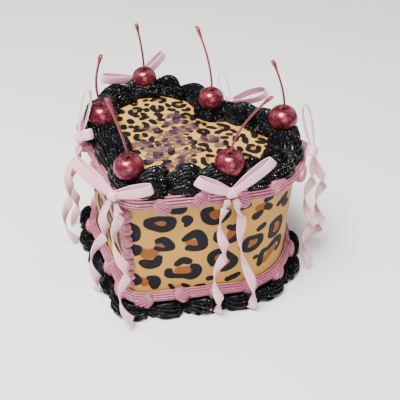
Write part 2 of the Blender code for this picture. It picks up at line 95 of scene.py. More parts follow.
def round_the_heart(step):
    """Distances along the wall, once round from the tip, about a step apart."""
    count = round(2 * HALF_LENGTH / step)
    places = [HALF_LENGTH * 2 * k / count for k in range(count)]
    return [p if p <= HALF_LENGTH else p - 2 * HALF_LENGTH for p in places]


def skin(rings, closed_row):
    """Points of a row of rings, all of one length, and the faces between them."""
    rows, width = len(rings), len(rings[0])
    faces = []
    for row in range(rows if closed_row else rows - 1):
        here, there = row * width, (row + 1) % rows * width
        for k in range(width):
            n = (k + 1) % width
            faces.append((here + k, here + n, there + n, there + k))
    return [point for ring in rings for point in ring], faces


def put_with(points, faces, more, their):
    """Add a skin's points and faces to those that there are."""
    faces += [tuple(i + len(points) for i in face) for face in their]
    points += more


def close_ends(points, faces, width):
    """Faces over the first ring and the last one."""
    faces.append(tuple(range(width)))
    faces.append(tuple(range(len(points) - width, len(points))))


def make_piece(name, points, faces, material):
    """Smooth mesh of a piece, its faces turned outwards."""
    mesh = bpy.data.meshes.new(name)
    mesh.from_pydata([tuple(p) for p in points], [], faces)
    work = bmesh.new()
    work.from_mesh(mesh)
    bmesh.ops.recalc_face_normals(work, faces=work.faces)
    work.to_mesh(mesh)
    work.free()
    mesh.polygons.foreach_set("use_smooth", [True] * len(mesh.polygons))
    mesh.materials.append(material)
    piece = bpy.data.objects.new(name, mesh)
    bpy.context.scene.collection.objects.link(piece)
    return piece


def stand_for(piece, slot, *nodes):
    """Put a finished piece in the place of its plain solids."""
    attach(piece, "root")
    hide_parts(*nodes)


def note(piece, name, values):
    """Keep one number for each point of a piece, for its material to read."""
    layer = piece.data.attributes.new(name, "FLOAT", "POINT")
    layer.data.foreach_set("value", np.asarray(values, dtype=np.float32))


# Marks on the wall where it faces forwards, each a brush stroke of (distance, height, half width)
# in millimetres; the other marks on the wall are drawn by chance
BLACK_STROKES = [
    [(12.5, 85, 2.9), (17, 86.8, 2), (23, 86.8, 1.7), (28.5, 84.3, 2.9), (27.5, 79, 3), (23, 77, 2.5),
     (17.5, 78.9, 2.4), (13, 82.5, 3), (12.5, 85, 2.9)], [(39, 84.3, 3.3), (41, 83, 2.4), (39, 79, 1.6)],
    [(-1, 79.5, 4.3), (3, 79, 3.4), (2.5, 72, 3.9), (-1, 70, 3.3)], [(29.5, 92.5, 2), (35, 92.5, 2.7),
     (37, 94, 2)], [(56, 91.5, 1.7), (52, 89.5, 2.8), (52, 85, 2.6), (54.5, 81, 2.6), (59, 79, 2.2),
     (63.5, 80.5, 2.3), (67, 84.5, 2.4), (68, 88, 2.2)], [(38, 65.5, 1.9), (42, 68.5, 2.9),
     (46.5, 70, 3.6), (50, 66, 3.5), (51.5, 60.5, 3.3), (51, 56.8, 2.8), (46, 55.6, 2.3), (41, 57, 2.4)],
    [(19, 66.5, 2.1), (23, 67, 2.7), (26.5, 63, 2.9), (28.5, 59, 2.3), (25, 57.8, 1.5), (20.5, 58.3, 1.5),
     (17.5, 60, 1.3)], [(-1, 60, 3.9), (4.5, 61, 2.9), (3, 57, 2.9), (0, 57, 3.4)], [(8, 47, 2.9),
     (12, 44.5, 4.1), (17, 45, 3.9), (19.5, 50, 2.3)], [(33, 42, 2.3), (37, 45, 2.9), (41, 43.5, 2.7)],
    [(26.5, 35.5, 2.7), (27, 31.5, 2.9), (32, 29.5, 2.1), (38, 28.5, 2.1), (44, 27.5, 3.3),
     (47.5, 31.5, 3.7), (47, 36, 3.3), (44.5, 38.5, 1.8)], [(60, 38, 2.3), (57.7, 42.5, 2.3),
     (58.5, 47, 2.7), (62, 50, 2.5), (66, 50, 2.3), (69.5, 47.5, 2.3), (73.5, 43.5, 2.5), (76, 40, 2.5),
     (74.5, 35, 2.7), (70, 31.5, 2.3), (67, 30.5, 1.5)], [(62, 68, 2.5), (61.5, 63.5, 2.5),
     (64, 60.5, 2.1)], [(70, 73.5, 1.9), (73, 72, 2.1), (76, 74.5, 1.7), (77, 70, 1.7), (77, 66, 1.5),
     (75, 61.5, 2.1), (71.5, 59.5, 1.7)], [(80, 52, 1.3), (82.7, 54, 2.3), (85, 59, 1.9), (90, 59.5, 1.7),
     (95, 58.5, 2.3), (95.5, 53, 2.3), (91.5, 49, 2.3), (86.5, 47.5, 1.9), (83, 50, 2.1),
     (82.7, 54, 2.3)], [(93.5, 66.5, 2.1), (97, 68.5, 2.3)], [(77, 91, 2.7), (82, 92, 2.4)],
    [(89.5, 80, 3.1), (93, 82, 1.9)], [(98, 86, 2.5), (101, 84, 2.3)], [(97, 92.5, 2.3), (102, 94, 2.5)],
    [(110, 82, 1.9), (115, 84, 2.9), (120, 85, 2.5), (118, 79, 2.9), (124, 76, 2.3)], [(106, 65, 2.5),
     (110, 67, 2.1), (115, 66, 2.3), (118, 61, 1.9), (117, 54, 2.1), (112, 52, 2.1), (106, 54, 2.3),
     (106, 60, 2.5), (106, 65, 2.5)], [(98, 29, 2.5), (98, 34, 2.3), (100, 41, 2.3), (104, 41, 1.9),
     (110, 44, 2.9), (115, 45, 2.9), (120, 42, 2.7), (121, 36, 2.7), (117, 34, 2.5)], [(93, 38, 1.8),
     (93.4, 38.3, 1.6)], [(57.5, 23, 2.2), (60, 23.5, 1.7)], [(72, 20, 2.1), (77, 22.5, 2.3),
     (80, 24.5, 1.7)], [(27.5, 20.5, 1.2), (29.5, 17, 1.2)], [(37.5, 19.5, 1.2), (41, 17, 1.4)],
    [(48, 16, 1.2), (53, 16, 1.7)], [(-1, 31, 3.4), (2, 32, 2.9), (4, 28, 2.4), (1, 26, 3.4)],
    [(12, 30.5, 1.9), (16, 29, 2.9), (18, 25, 2.5), (16, 20, 2.1), (13.5, 26, 1.9)],
]
BROWN_STROKES = [
    [(18.5, 83.3, 2.5), (23, 83, 2.8)], [(58, 87, 3.6), (62, 86, 3.8)], [(42, 62, 3), (46.5, 60.3, 3)],
    [(19.5, 62.5, 2.6), (23, 60.5, 2.6)], [(8.5, 57.5, 2.8), (12.5, 54.5, 4.4), (17.5, 57.5, 2.4),
     (16, 52.5, 2)], [(34.5, 35.2, 3.3), (40.5, 34.5, 3.7)], [(62.5, 43.5, 3.2), (68, 40, 2.8),
     (71.5, 36.5, 3.2)], [(73, 67, 3.9), (72, 63.5, 2.9)], [(87.5, 52.5, 2.2), (89.5, 55, 2.4)],
    [(91, 87, 2.6), (96, 87, 2.8)], [(112, 60, 3.4), (113, 58, 3.2)], [(103, 31, 3.2), (108, 35, 3.4),
     (113, 38, 2.6)], [(6.5, 29.5, 2.2), (9, 25, 2.8)],
]
# Marks on the top, as (x, y, half width) in millimetres
TOP_BLACK_STROKES = [
    [(-49, 41, 1.2), (-48.5, 45, 1.2), (-46, 48, 1.3), (-42, 48.5, 1.3), (-40.5, 45.5, 1.5),
     (-41.5, 42.5, 1.2)], [(-32, 47, 1.1), (-29.5, 49.5, 1.2), (-27, 51, 1)], [(-23, 48.5, 1.4),
     (-23.5, 45, 1.5), (-26.5, 43, 1.4), (-30.5, 44, 1.2)], [(-36, 42.5, 0.9), (-33, 40.5, 1.4)],
    [(-17.8, 45.5, 1), (-16.5, 43, 1.5), (-19.5, 41, 1.2)], [(-49.3, 33.6, 1.5), (-49, 33, 1.4)],
    [(-43.5, 34.5, 1.1), (-42.5, 31.5, 1.7), (-39, 28.8, 1.4), (-36.5, 29.5, 1.5), (-35, 32, 1.6),
     (-36.5, 35.5, 1.6), (-39, 37, 1)], [(-45.5, 27, 1.7), (-44.3, 25.5, 1.6)], [(-54.5, 23.5, 1.2),
     (-52, 25.5, 1.2), (-49.5, 24.5, 1.2), (-48.8, 21.5, 1.2)], [(-55, 19, 1.1), (-53.5, 16, 1.4),
     (-50.5, 15, 1.3), (-49.3, 17.5, 1.1)], [(-44, 19.5, 1.6), (-42, 18.5, 1.5)], [(-47.5, 14, 1.4),
     (-46, 14.5, 1.3)], [(-38.7, 17, 1.2), (-40.5, 14.5, 1.7), (-41, 12.5, 1.4)], [(-35, 24.5, 1.5),
     (-32, 25, 2), (-30.5, 22, 1.2)], [(-29.5, 36.5, 1.6), (-27, 37, 1.8)], [(-22.5, 36, 1.2),
     (-21.5, 33.5, 1.2)], [(-20.5, 30, 1.6), (-18, 26, 2.5), (-16, 22.5, 1.7)], [(-17, 33, 1.2),
     (-15.5, 37, 1.4), (-13, 37, 1.2)], [(-16, 31, 1.2), (-13.5, 31.5, 1.1)], [(-9.5, 37, 1.3),
     (-7.5, 35, 2.1), (-6.5, 32, 1.3)], [(-10, 27, 1.5), (-9.5, 24, 1.2)], [(-2, 27.5, 1.3),
     (-0.3, 25, 1.6), (0.5, 23, 1.1)], [(-1.5, 31.5, 1.3), (0, 29.5, 1)], [(4, 31, 1.2), (5, 29.5, 1)],
    [(8.8, 28.3, 1), (11, 29, 1.5), (14, 29.3, 1.1)], [(14, 36, 1.2), (17, 36.5, 1.4), (21.5, 36, 1.6),
     (22.3, 32, 1.5), (20.5, 29.5, 1.1)], [(27, 33.5, 1.2), (29.5, 32.3, 1.3)], [(26, 26.5, 1),
     (28, 27.5, 1.3)], [(19.5, 28, 1.2), (18.5, 25, 1.8)], [(5, 19.5, 1), (5.5, 21.5, 1.1),
     (8.5, 23.5, 1.1), (11.5, 22, 1.3), (12, 20, 1.2), (9.5, 18.3, 1.3), (6.5, 18.3, 1.1), (5, 19.5, 1)],
    [(24.8, 20.5, 1.4), (27, 22, 1.5)], [(33.5, 26, 1.8), (34.5, 22, 1.5)], [(36.5, 31.5, 1.5),
     (37, 30, 1.5)], [(39.5, 28.5, 1.4), (41, 25.5, 1.9), (42.5, 23.5, 1.3)], [(41.5, 39.5, 1.8),
     (43.5, 37.5, 1.8), (45, 34, 1.7)], [(50, 33, 1.1), (53, 33, 1.3), (54, 30.5, 1.4), (52, 28.5, 1.4),
     (49.5, 28.5, 1.1)], [(46.5, 21, 1.2), (48.5, 22.2, 1.2)], [(46.8, 18.5, 1), (47.5, 15.5, 1.2),
     (50.5, 14.5, 1.3), (54, 15.5, 1.4), (54.5, 19, 1.4), (53, 22.5, 1.2)], [(41, 14.5, 1.2),
     (43, 12.5, 1.6), (43.5, 11, 1.2)], [(48, 8.5, 1.6), (52, 9, 1.1)], [(11.5, 16.5, 1.2),
     (12.5, 13, 1.4), (15.5, 11.5, 1.2)], [(20.5, 17.5, 1.4), (22.5, 14, 1.5), (20, 11.5, 1.2)],
    [(29, 17, 1.2), (31, 13.5, 1.4)], [(3.5, 8, 1.4), (5, 6.5, 1.1)], [(9, 5, 1.8), (10, 3, 1.2),
     (7.5, 2.5, 1.1)], [(15, 4, 1.5), (17.5, 5, 1.8), (20, 4, 1.2)], [(17, -1.5, 1.5), (19.5, -2, 1.5)],
    [(22.5, 1, 1.3), (24.5, -0.3, 1.4)], [(11, -0.5, 1.1), (13, -2.5, 1.2)], [(26, -6, 1.4),
     (29, -5, 1.2)], [(24.5, -11, 1), (27.5, -15.5, 1.3), (30.5, -16.5, 1.2)], [(-0.8, -12, 1.6),
     (1.2, -15.5, 2), (2.2, -17.5, 1.2)], [(11, -16.5, 1), (9.5, -19, 1.1)], [(19.5, -16, 1.3),
     (21.5, -18, 1.2)], [(12.5, -20, 1.1), (13.5, -23, 1.2), (17, -24.5, 1.3), (19.5, -22, 1.2)],
    [(26, -23, 1.5), (28, -24.5, 1.5)], [(2.5, -27, 1.2), (5.5, -26.5, 1.5), (5, -29.5, 1.6),
     (4, -31.5, 1.2)], [(14, -27.5, 1.5), (15, -31, 1.2)], [(-47.5, 6, 2), (-45.5, 4.5, 2.2)],
    [(-36.5, 8.5, 1.2), (-33.5, 7.5, 1.3), (-31.5, 4.5, 1.5), (-31.3, 0.5, 1.4), (-33.5, -2.5, 1.5),
     (-36, -4.5, 1.3)], [(-38.5, 1.5, 1.2), (-37.5, -1, 1.4)], [(-42.3, -1, 1.3), (-41.8, -1.5, 1.3)],
    [(-47.5, -3, 1.5), (-45.5, -5.5, 1.7)], [(-28, -4.5, 1.2), (-26, -6.5, 1.4)], [(-32, -8.5, 1.2),
     (-30.5, -12.5, 1.4), (-28, -14, 1.2)], [(-42, -11, 1.2), (-39.5, -10.5, 1.7), (-37.5, -12, 1.2)],
    [(-20.5, -5.5, 1.1), (-19.5, -8.5, 1.6), (-18, -11.5, 1.1)], [(-15.7, -15.6, 1.6),
     (-15.3, -16.4, 1.5)], [(-34, -21, 1.3), (-31.5, -22.5, 1.8)], [(-21, -27, 1.6), (-18.5, -28, 1.2)],
    [(-4.5, -20.5, 1.1), (-3.5, -22.5, 1.3)], [(-8, -22, 1.3), (-5, -26, 1.6)], [(-33.5, 14.5, 1.5),
     (-31, 13.5, 1.8), (-29, 12.5, 1.2)], [(-21, 17, 1.3), (-20, 14, 1.8), (-21, 11.5, 1.2)],
    [(-29, 18.5, 1.2), (-26, 20, 1.2)], [(-12.5, 8.5, 1.5), (-9, 8, 1.6)], [(-14, -9.5, 1.2),
     (-11.5, -12, 1.4)], [(-13.5, 14.5, 1.4), (-11, 13, 1.4)], [(-24, -13, 1.5), (-21, -14.5, 1.3)],
    [(-3, 18, 1.5), (0, 16, 1.3)],
]
TOP_BROWN_STROKES = [
    [(-45.5, 43.5, 2.4), (-44.5, 45, 2)], [(-28.5, 46.5, 2.2), (-26.5, 48, 1.8)], [(-39.5, 33, 1.8),
     (-38.5, 34, 1.6)], [(-52, 19, 2.6), (-51, 22, 2)], [(-12, 34, 2), (-10.5, 32, 1.8)], [(-6.5, 28, 2),
     (-5.5, 25.5, 2.2)], [(2, 33, 2), (3.5, 31, 1.5)], [(17, 33.5, 2.4), (19.5, 31.5, 2)], [(8, 21, 1.6),
     (9, 20.8, 1.6)], [(47.5, 39, 2.6), (50, 35.5, 2.2)], [(52, 30.5, 1.6), (51, 31, 1.5)],
    [(50, 18.5, 2.2), (51, 18, 2)], [(50, 6.5, 2), (51, 5.5, 1.6)], [(27, -9.5, 2), (28.5, -11.5, 1.6)],
    [(3.5, -14, 1.2), (5, -15.5, 1.2)], [(16.5, -20.5, 2.2), (17, -22, 1.8)], [(9, -30.5, 2),
     (10.5, -33, 2)], [(-34.5, 4, 2.3), (-35.5, 1.5, 2)], [(-29, -9, 2.2), (-28, -11, 1.8)],
    [(-27, 16, 1.6), (-25.5, 14, 1.8)], [(-12, 4, 2), (-10.5, 5, 1.6)], [(-17, 42.8, 1),
     (-16.6, 42.4, 1)],
]
DRAWN_BY_HAND = (-5.0, 125.0)
PRINT_LOW, PRINT_HIGH = 10.0, 100.0
WALL_RING_PITCH, WALL_RING_SIZE, WALL_BRUSH = 25.0, 8.6, 2.5
ROW_PITCH = 0.87
OUT_OF_LINE = 0.12
SPOT_CHANCE = 0.62
SPOT_BRUSH = 0.8
BROWN_LONG, BROWN_WIDE = 0.3, 0.62
ARC_STEP = 0.62


def broken_ring(draw, x, y, size, brush):
    """A leopard mark: one to three arcs of a thick uneven line round a brown middle."""
    wide, tall = size * draw.uniform(0.9, 1.15), size * draw.uniform(0.72, 0.95)
    tilt = draw.uniform(0, math.pi)
    cos, sin = math.cos(tilt), math.sin(tilt)
    arcs = draw.choice((1, 2, 2, 3))
    start = draw.uniform(0, 2 * math.pi)
    black = []
    for arc in range(arcs):
        opening = draw.uniform(0.85, 1.5)
        begin = start + 2 * math.pi * arc / arcs + opening / 2
        turn = 2 * math.pi / arcs - opening
        line = []
        steps = max(2, round(turn / ARC_STEP))
        for k in range(steps + 1):
            angle = begin + turn * k / steps
            ring = draw.uniform(0.9, 1.08)
            u, v = wide * ring * math.cos(angle), tall * ring * math.sin(angle)
            line.append((x + u * cos - v * sin, y + u * sin + v * cos, brush * draw.uniform(0.75, 1.25)))
        black.append(line)
    reach = wide * BROWN_LONG
    brown = [(x + way * reach * cos, y + way * reach * sin, tall * BROWN_WIDE) for way in (-1, 1)]
    return black, brown


def small_spot(draw, x, y, brush):
    angle = draw.uniform(0, math.pi)
    reach = brush * draw.uniform(0.5, 1.1)
    return [(x - reach * math.cos(angle), y - reach * math.sin(angle), brush * draw.uniform(0.8, 1.1)),
            (x + reach * math.cos(angle), y + reach * math.sin(angle), brush * draw.uniform(0.6, 1.0))]


def scatter_wall_marks(draw, left, low, right, high):
    """Rings on a loose grid with small spots between them, clear of the listed marks."""
    black, brown = [], []
    clear = WALL_RING_SIZE + 0.4
    rows = round((high - low) / (WALL_RING_PITCH * ROW_PITCH))
    columns = round((right - left) / WALL_RING_PITCH)
    for row in range(rows + 1):
        for column in range(columns + 1):
            x = left + WALL_RING_PITCH * (column + 0.5 * (row % 2))
            x += draw.uniform(-OUT_OF_LINE, OUT_OF_LINE) * WALL_RING_PITCH
            y = low + WALL_RING_PITCH * ROW_PITCH * row
            y += draw.uniform(-OUT_OF_LINE, OUT_OF_LINE) * WALL_RING_PITCH
            ring, middle = broken_ring(draw, x, y, WALL_RING_SIZE * draw.uniform(0.85, 1.08), WALL_BRUSH)
            above = y + WALL_RING_PITCH * draw.uniform(0.22, 0.34)
            spot = small_spot(draw, x + WALL_RING_PITCH * 0.5, above, WALL_BRUSH * SPOT_BRUSH)
            if DRAWN_BY_HAND[0] - clear < x < DRAWN_BY_HAND[1] + clear:
                continue
            black += ring
            brown.append(middle)
            if draw.random() < SPOT_CHANCE:
                black.append(spot)
    return black, brown


def rounded(stroke):
    """The same stroke with four points for each one, on a curve through them all."""
    ends = np.array([stroke[0], *stroke, stroke[-1]], dtype=float)
    curve = []
    for a, b, c, d in zip(ends, ends[1:], ends[2:], ends[3:]):
        squared, cubed = 2 * a - 5 * b + 4 * c - d, 3 * b - a - 3 * c + d
        for t in (0.0, 0.25, 0.5, 0.75):
            curve.append(0.5 * (2 * b + (c - a) * t + squared * t * t + cubed * t ** 3))
    return curve + [ends[-1]]


def depth_in_strokes(u, v, strokes, farthest):
    """How far each point is inside the nearest stroke, in the strokes' units; negative outside."""
    depth = np.full(len(u), -farthest)
    for stroke in map(rounded, strokes):
        for (ax, ay, ar), (bx, by, br) in zip(stroke, stroke[1:]):
            reach = max(ar, br) + farthest
            near = np.flatnonzero((u > min(ax, bx) - reach) & (u < max(ax, bx) + reach)
                                  & (v > min(ay, by) - reach) & (v < max(ay, by) + reach))
            if not len(near):
                continue
            pu, pv = u[near] - ax, v[near] - ay
            du, dv = bx - ax, by - ay
            share = np.clip((pu * du + pv * dv) / max(du * du + dv * dv, 1e-9), 0, 1)
            inside = ar + (br - ar) * share - np.hypot(pu - du * share, pv - dv * share)
            depth[near] = np.maximum(depth[near], inside)
    return depth


WALL_STEP = 0.00125
WALL_ROWS = 88
TOP_RINGS = 76
TOP_EDGE_ROUND = 0.002
TOP_EDGE_STEPS = 4
TOP_MIDDLE = (0.0, 0.006)
stations = round_the_heart(WALL_STEP)
levels = [(0.0, (WALL_HEIGHT - TOP_EDGE_ROUND) * row / WALL_ROWS) for row in range(WALL_ROWS + 1)]
for k in range(1, TOP_EDGE_STEPS + 1):
    turn = math.pi / 2 * k / TOP_EDGE_STEPS
    inwards, below = TOP_EDGE_ROUND * (1 - math.cos(turn)), TOP_EDGE_ROUND * (1 - math.sin(turn))
    levels.append((-inwards, WALL_HEIGHT - below))
rows, where = [], []
for offset, z in levels:
    rows.append([(*heart_line(s, offset), z) for s in stations])
    where += [(s / MM, z / MM, 0.0) for s in stations]
rim = rows[-1]
for ring in range(1, TOP_RINGS + 1):
    share = ring / (TOP_RINGS + 0.5)
    row = [(mix((x, TOP_MIDDLE[0]), share), mix((y, TOP_MIDDLE[1]), share), WALL_HEIGHT) for x, y, z in rim]
    rows.append(row)
    where += [(x / MM, y / MM, 1.0) for x, y, z in row]
where = np.array(where)
on_top = where[:, 2] > 0.5

draw = random.Random(11)
half_round = HALF_LENGTH / MM
wall_black, wall_brown = scatter_wall_marks(draw, -half_round, PRINT_LOW, half_round, PRINT_HIGH)
BLACK_STROKES += wall_black
BROWN_STROKES += wall_brown

# The spaces between the marks on top are filled with smaller rings and spots
REACH = 3.0
FILL_TRIES = 1500
FILL_SIZES = (0.8, 1.3, 2.2, 3.0)
FILL_CLEAR = 2.4
FILL_LEAST_RING = 2
FILL_FARTHEST = 8.0
tries = np.array([(draw.uniform(-62, 62), draw.uniform(-48, 58)) for _ in range(FILL_TRIES)])
rooms = -depth_in_strokes(tries[:, 0], tries[:, 1], TOP_BLACK_STROKES + TOP_BROWN_STROKES, FILL_FARTHEST)
filled = []
for (x, y), room in zip(tries, rooms):
    size = draw.choice(FILL_SIZES)
    room = min([room] + [math.hypot(x - fx, y - fy) - 1.5 * fill for fx, fy, fill in filled])
    if room < size + FILL_CLEAR:
        continue
    filled.append((x, y, size))
    if size > FILL_LEAST_RING:
        ring, middle = broken_ring(draw, x, y, size, 1.0)
        TOP_BLACK_STROKES += ring
        TOP_BROWN_STROKES.append(middle)
    else:
        TOP_BLACK_STROKES.append(small_spot(draw, x, y, size))

WALL_MARKS_THICKER = 0.6
TOP_MARKS_THICKER = 0.9
u, v = where[:, 0], where[:, 1]
black = np.where(on_top, depth_in_strokes(u, v, TOP_BLACK_STROKES, REACH) + TOP_MARKS_THICKER,
                 depth_in_strokes(u, v, BLACK_STROKES, REACH) + WALL_MARKS_THICKER)
brown = np.where(on_top, depth_in_strokes(u, v, TOP_BROWN_STROKES, REACH),
                 depth_in_strokes(u, v, BROWN_STROKES, REACH) + WALL_MARKS_THICKER)

# Streaks of mauve glitter: bundles of thin wavy brush lines across the middle of the top, as
# (x, y, length, width of the bundle, pairs of lines in it)
STREAK_ANGLE = math.radians(50)
STREAK_SPREAD = 1.25
STREAK_STEPS = 10
STREAK_BUNDLES = [
    (-23, 29, 13, 5, 5), (-17, 22, 17, 5, 5), (-5, 18, 20, 7, 6), (17, 14, 15, 7, 6), (27, 10, 8, 5, 4),
    (-10, 4, 24, 9, 7), (-2, -3, 26, 9, 7), (12, -9, 20, 6, 5), (-22, -18, 15, 7, 5), (-9, -19, 20, 8, 6),
    (13, -20, 14, 6, 4), (-27, 4, 12, 6, 3), (-2, -26, 18, 5, 3), (-27, -22, 9, 5, 3), (8, -31, 10, 5, 3)]
streaks = []
for x, y, length, width, pairs in STREAK_BUNDLES:
    lines = 2 * pairs
    for line in range(lines):
        across = (line - (lines - 1) / 2) * STREAK_SPREAD * width / lines + draw.uniform(-0.6, 0.6)
        reach = length * draw.uniform(0.65, 1.0)
        start = -reach / 2 + draw.uniform(-0.1, 0.1) * length
        waves, swing, turn = draw.uniform(1.0, 2.6), draw.uniform(0.5, 1.3), draw.uniform(0, 6)
        lean = STREAK_ANGLE + draw.uniform(-0.16, 0.16)
        cos, sin = math.cos(lean), math.sin(lean)
        stroke = []
        for k in range(STREAK_STEPS + 1):
            step = start + reach * k / STREAK_STEPS
            sway = across + swing * math.sin(2 * math.pi * waves * k / STREAK_STEPS + turn)
            px, py = x + step * cos - sway * sin, y + step * sin + sway * cos
            stroke.append((px, py, draw.uniform(0.40, 0.85)))
        streaks.append(stroke)
mauve = np.where(on_top, depth_in_strokes(u, v, streaks, REACH), -REACH)


def connect(tree, node, inputs):
    """Give a node's inputs, by name or number, their values or other nodes' outputs."""
    for key, value in inputs.items():
        if isinstance(value, bpy.types.NodeSocket):
            tree.links.new(value, node.inputs[key])
        else:
            node.inputs[key].default_value = value


def new_material(name, colour, roughness, metallic=0.0):
    """Principled material with its plain values set, and its node tree and shader at hand."""
    material = bpy.data.materials.new(name)
    material.use_nodes = True
    shader = material.node_tree.nodes["Principled BSDF"]
    looks = {"Base Color": colour, "Roughness": roughness, "Metallic": metallic}
    connect(material.node_tree, shader, looks)
    return material, material.node_tree, shader


def add_node(tree, kind, inputs, **settings):
    node = tree.nodes.new(kind)
    for key, value in settings.items():
        setattr(node, key, value)
    connect(tree, node, inputs)
    return node


def math_node(tree, operation, first, second=0.0, clamp=False):
    inputs = {0: first, 1: second}
    return add_node(tree, "ShaderNodeMath", inputs, operation=operation, use_clamp=clamp).outputs[0]


def blend_colours(tree, amount, first, second):
    return add_node(tree, "ShaderNodeMix", {0: amount, 6: first, 7: second}, data_type="RGBA").outputs[2]


def blend_normals(tree, amount, first, second):
    return add_node(tree, "ShaderNodeMix", {0: amount, 4: first, 5: second}, data_type="VECTOR").outputs[1]


def stretch(tree, value, low, high, to_low=0.0, to_high=1.0):
    """A value from low to high, turned into one from to_low to to_high."""
    inputs = {0: value, 1: low, 2: high, 3: to_low, 4: to_high}
    return add_node(tree, "ShaderNodeMapRange", inputs).outputs[0]


def noted(tree, name):
    """The number that note() kept on a piece."""
    return add_node(tree, "ShaderNodeAttribute", {}, attribute_name=name).outputs["Fac"]


def bumped(tree, height, strength, distance):
    inputs = {"Height": height, "Strength": strength, "Distance": distance}
    return add_node(tree, "ShaderNodeBump", inputs).outputs[0]


def start_group(name, inputs, outputs):
    """Node group with named inputs, as (name, value), and named outputs, as (name, socket type)."""
    group = bpy.data.node_groups.new(name, "ShaderNodeTree")
    for label, value in inputs:
        socket = group.interface.new_socket(label, in_out="INPUT", socket_type="NodeSocketFloat")
        socket.default_value = value
    for label, kind in outputs:
        group.interface.new_socket(label, in_out="OUTPUT", socket_type=kind)
    return group, group.nodes.new("NodeGroupInput").outputs, group.nodes.new("NodeGroupOutput")


def use_group(tree, group, inputs):
    node = tree.nodes.new("ShaderNodeGroup")
    node.node_tree = group
    connect(tree, node, inputs)
    return node.outputs


# Patchy: slow changes of a surface's shade, from 0 to 1, for cream, sheet and fruit alike
patchy, given, gives = start_group("patchy", [("Patch size mm", 8.0)], [("Shade", "NodeSocketFloat")])
scale = math_node(patchy, "DIVIDE", 1000.0, given["Patch size mm"])
spot = patchy.nodes.new("ShaderNodeTexCoord").outputs["Object"]
cloud = add_node(patchy, "ShaderNodeTexNoise", {
    "Vector": spot, "Scale": scale, "Detail": 3.0, "Roughness": 0.55})
connect(patchy, gives, {"Shade": cloud.outputs["Fac"]})

# Glitter: flat flakes strewn over a surface, each turned its own way
FLAKE_ROUND = 0.42
glitter, given, gives = start_group("glitter", [("Flake size mm", 0.7), ("Share", 0.2), ("Tilt", 0.6)],
                                    [("Flakes", "NodeSocketFloat"), ("Normal", "NodeSocketVector")])
spot = glitter.nodes.new("ShaderNodeTexCoord").outputs["Object"]
scale = math_node(glitter, "DIVIDE", 1000.0, given["Flake size mm"])
cells = add_node(glitter, "ShaderNodeTexVoronoi", {"Vector": spot, "Scale": scale})
parts = add_node(glitter, "ShaderNodeSeparateColor", {"Color": cells.outputs["Color"]})
chosen = math_node(glitter, "LESS_THAN", parts.outputs[0], given["Share"])
disc = math_node(glitter, "LESS_THAN", cells.outputs["Distance"], FLAKE_ROUND)
turned = add_node(glitter, "ShaderNodeVectorMath", {0: cells.outputs["Color"], 1: (0.5, 0.5, 0.5)},
                  operation="SUBTRACT")
scaled = add_node(glitter, "ShaderNodeVectorMath", {0: turned.outputs[0], "Scale": given["Tilt"]},
                  operation="SCALE")
facing = glitter.nodes.new("ShaderNodeNewGeometry").outputs["Normal"]
leaning = add_node(glitter, "ShaderNodeVectorMath", {0: facing, 1: scaled.outputs[0]}, operation="ADD")
upright = add_node(glitter, "ShaderNodeVectorMath", {0: leaning.outputs[0]}, operation="NORMALIZE")
flakes = math_node(glitter, "MULTIPLY", chosen, disc)
connect(glitter, gives, {"Flakes": flakes, "Normal": upright.outputs[0]})


def shade_of(tree, patch_size):
    return use_group(tree, patchy, {"Patch size mm": patch_size})["Shade"]


def flakes_over(tree, size, share, tilt):
    return use_group(tree, glitter, {"Flake size mm": size, "Share": share, "Tilt": tilt})


def stroke_mask(tree, name, wobble, soft):
    """1 inside a kind of stroke and 0 outside it, with a slightly unsteady edge."""
    return stretch(tree, math_node(tree, "ADD", noted(tree, name), wobble), -soft, soft)


TAN, TAN_DEEP = (0.50, 0.282, 0.070, 1), (0.44, 0.228, 0.050, 1)
PRINT_BROWN, PRINT_BLACK = (0.23, 0.072, 0.018, 1), (0.008, 0.007, 0.011, 1)
TOP_BROWN, TOP_BLACK = (0.27, 0.110, 0.028, 1), (0.006, 0.005, 0.006, 1)
MAUVE, MAUVE_FLAKE = (0.045, 0.019, 0.031, 1), (0.22, 0.12, 0.17, 1)
MAUVE_COVER = 0.9
sheet, tree, shader = new_material("printed sheet", TAN, 0.6)
shade = shade_of(tree, 14.0)
wobble = math_node(tree, "MULTIPLY", math_node(tree, "SUBTRACT", shade_of(tree, 1.6), 0.5), 0.8)
upper = noted(tree, "upper")
brown_here = blend_colours(tree, upper, PRINT_BROWN, TOP_BROWN)
black_here = blend_colours(tree, upper, PRINT_BLACK, TOP_BLACK)
colour = blend_colours(tree, shade, TAN, TAN_DEEP)
colour = blend_colours(tree, stroke_mask(tree, "brown", wobble, 0.35), colour, brown_here)
colour = blend_colours(tree, stroke_mask(tree, "black", wobble, 0.22), colour, black_here)
flakes = flakes_over(tree, 0.5, 0.25, 0.5)
brushed = stroke_mask(tree, "mauve", math_node(tree, "MULTIPLY", wobble, 1.2), 0.4)
glitter_colour = blend_colours(tree, flakes["Flakes"], MAUVE, MAUVE_FLAKE)
colour = blend_colours(tree, math_node(tree, "MULTIPLY", brushed, MAUVE_COVER), colour, glitter_colour)
connect(tree, shader, {
    "Base Color": colour, "Normal": bumped(tree, shade, 0.25, 0.0006), "Specular IOR Level": 0.12})

points, faces = skin(rows, closed_row=False)
faces.append(tuple(reversed(range(len(stations)))))
faces.append(tuple(range(len(points) - len(stations), len(points))))
cake = make_piece("cake_in_printed_sheet", points, faces, sheet)
for name, values in (("black", black), ("brown", brown), ("mauve", mauve), ("upper", on_top)):
    note(cake, name, values)
stand_for(cake, "printed_sheet", "cake")


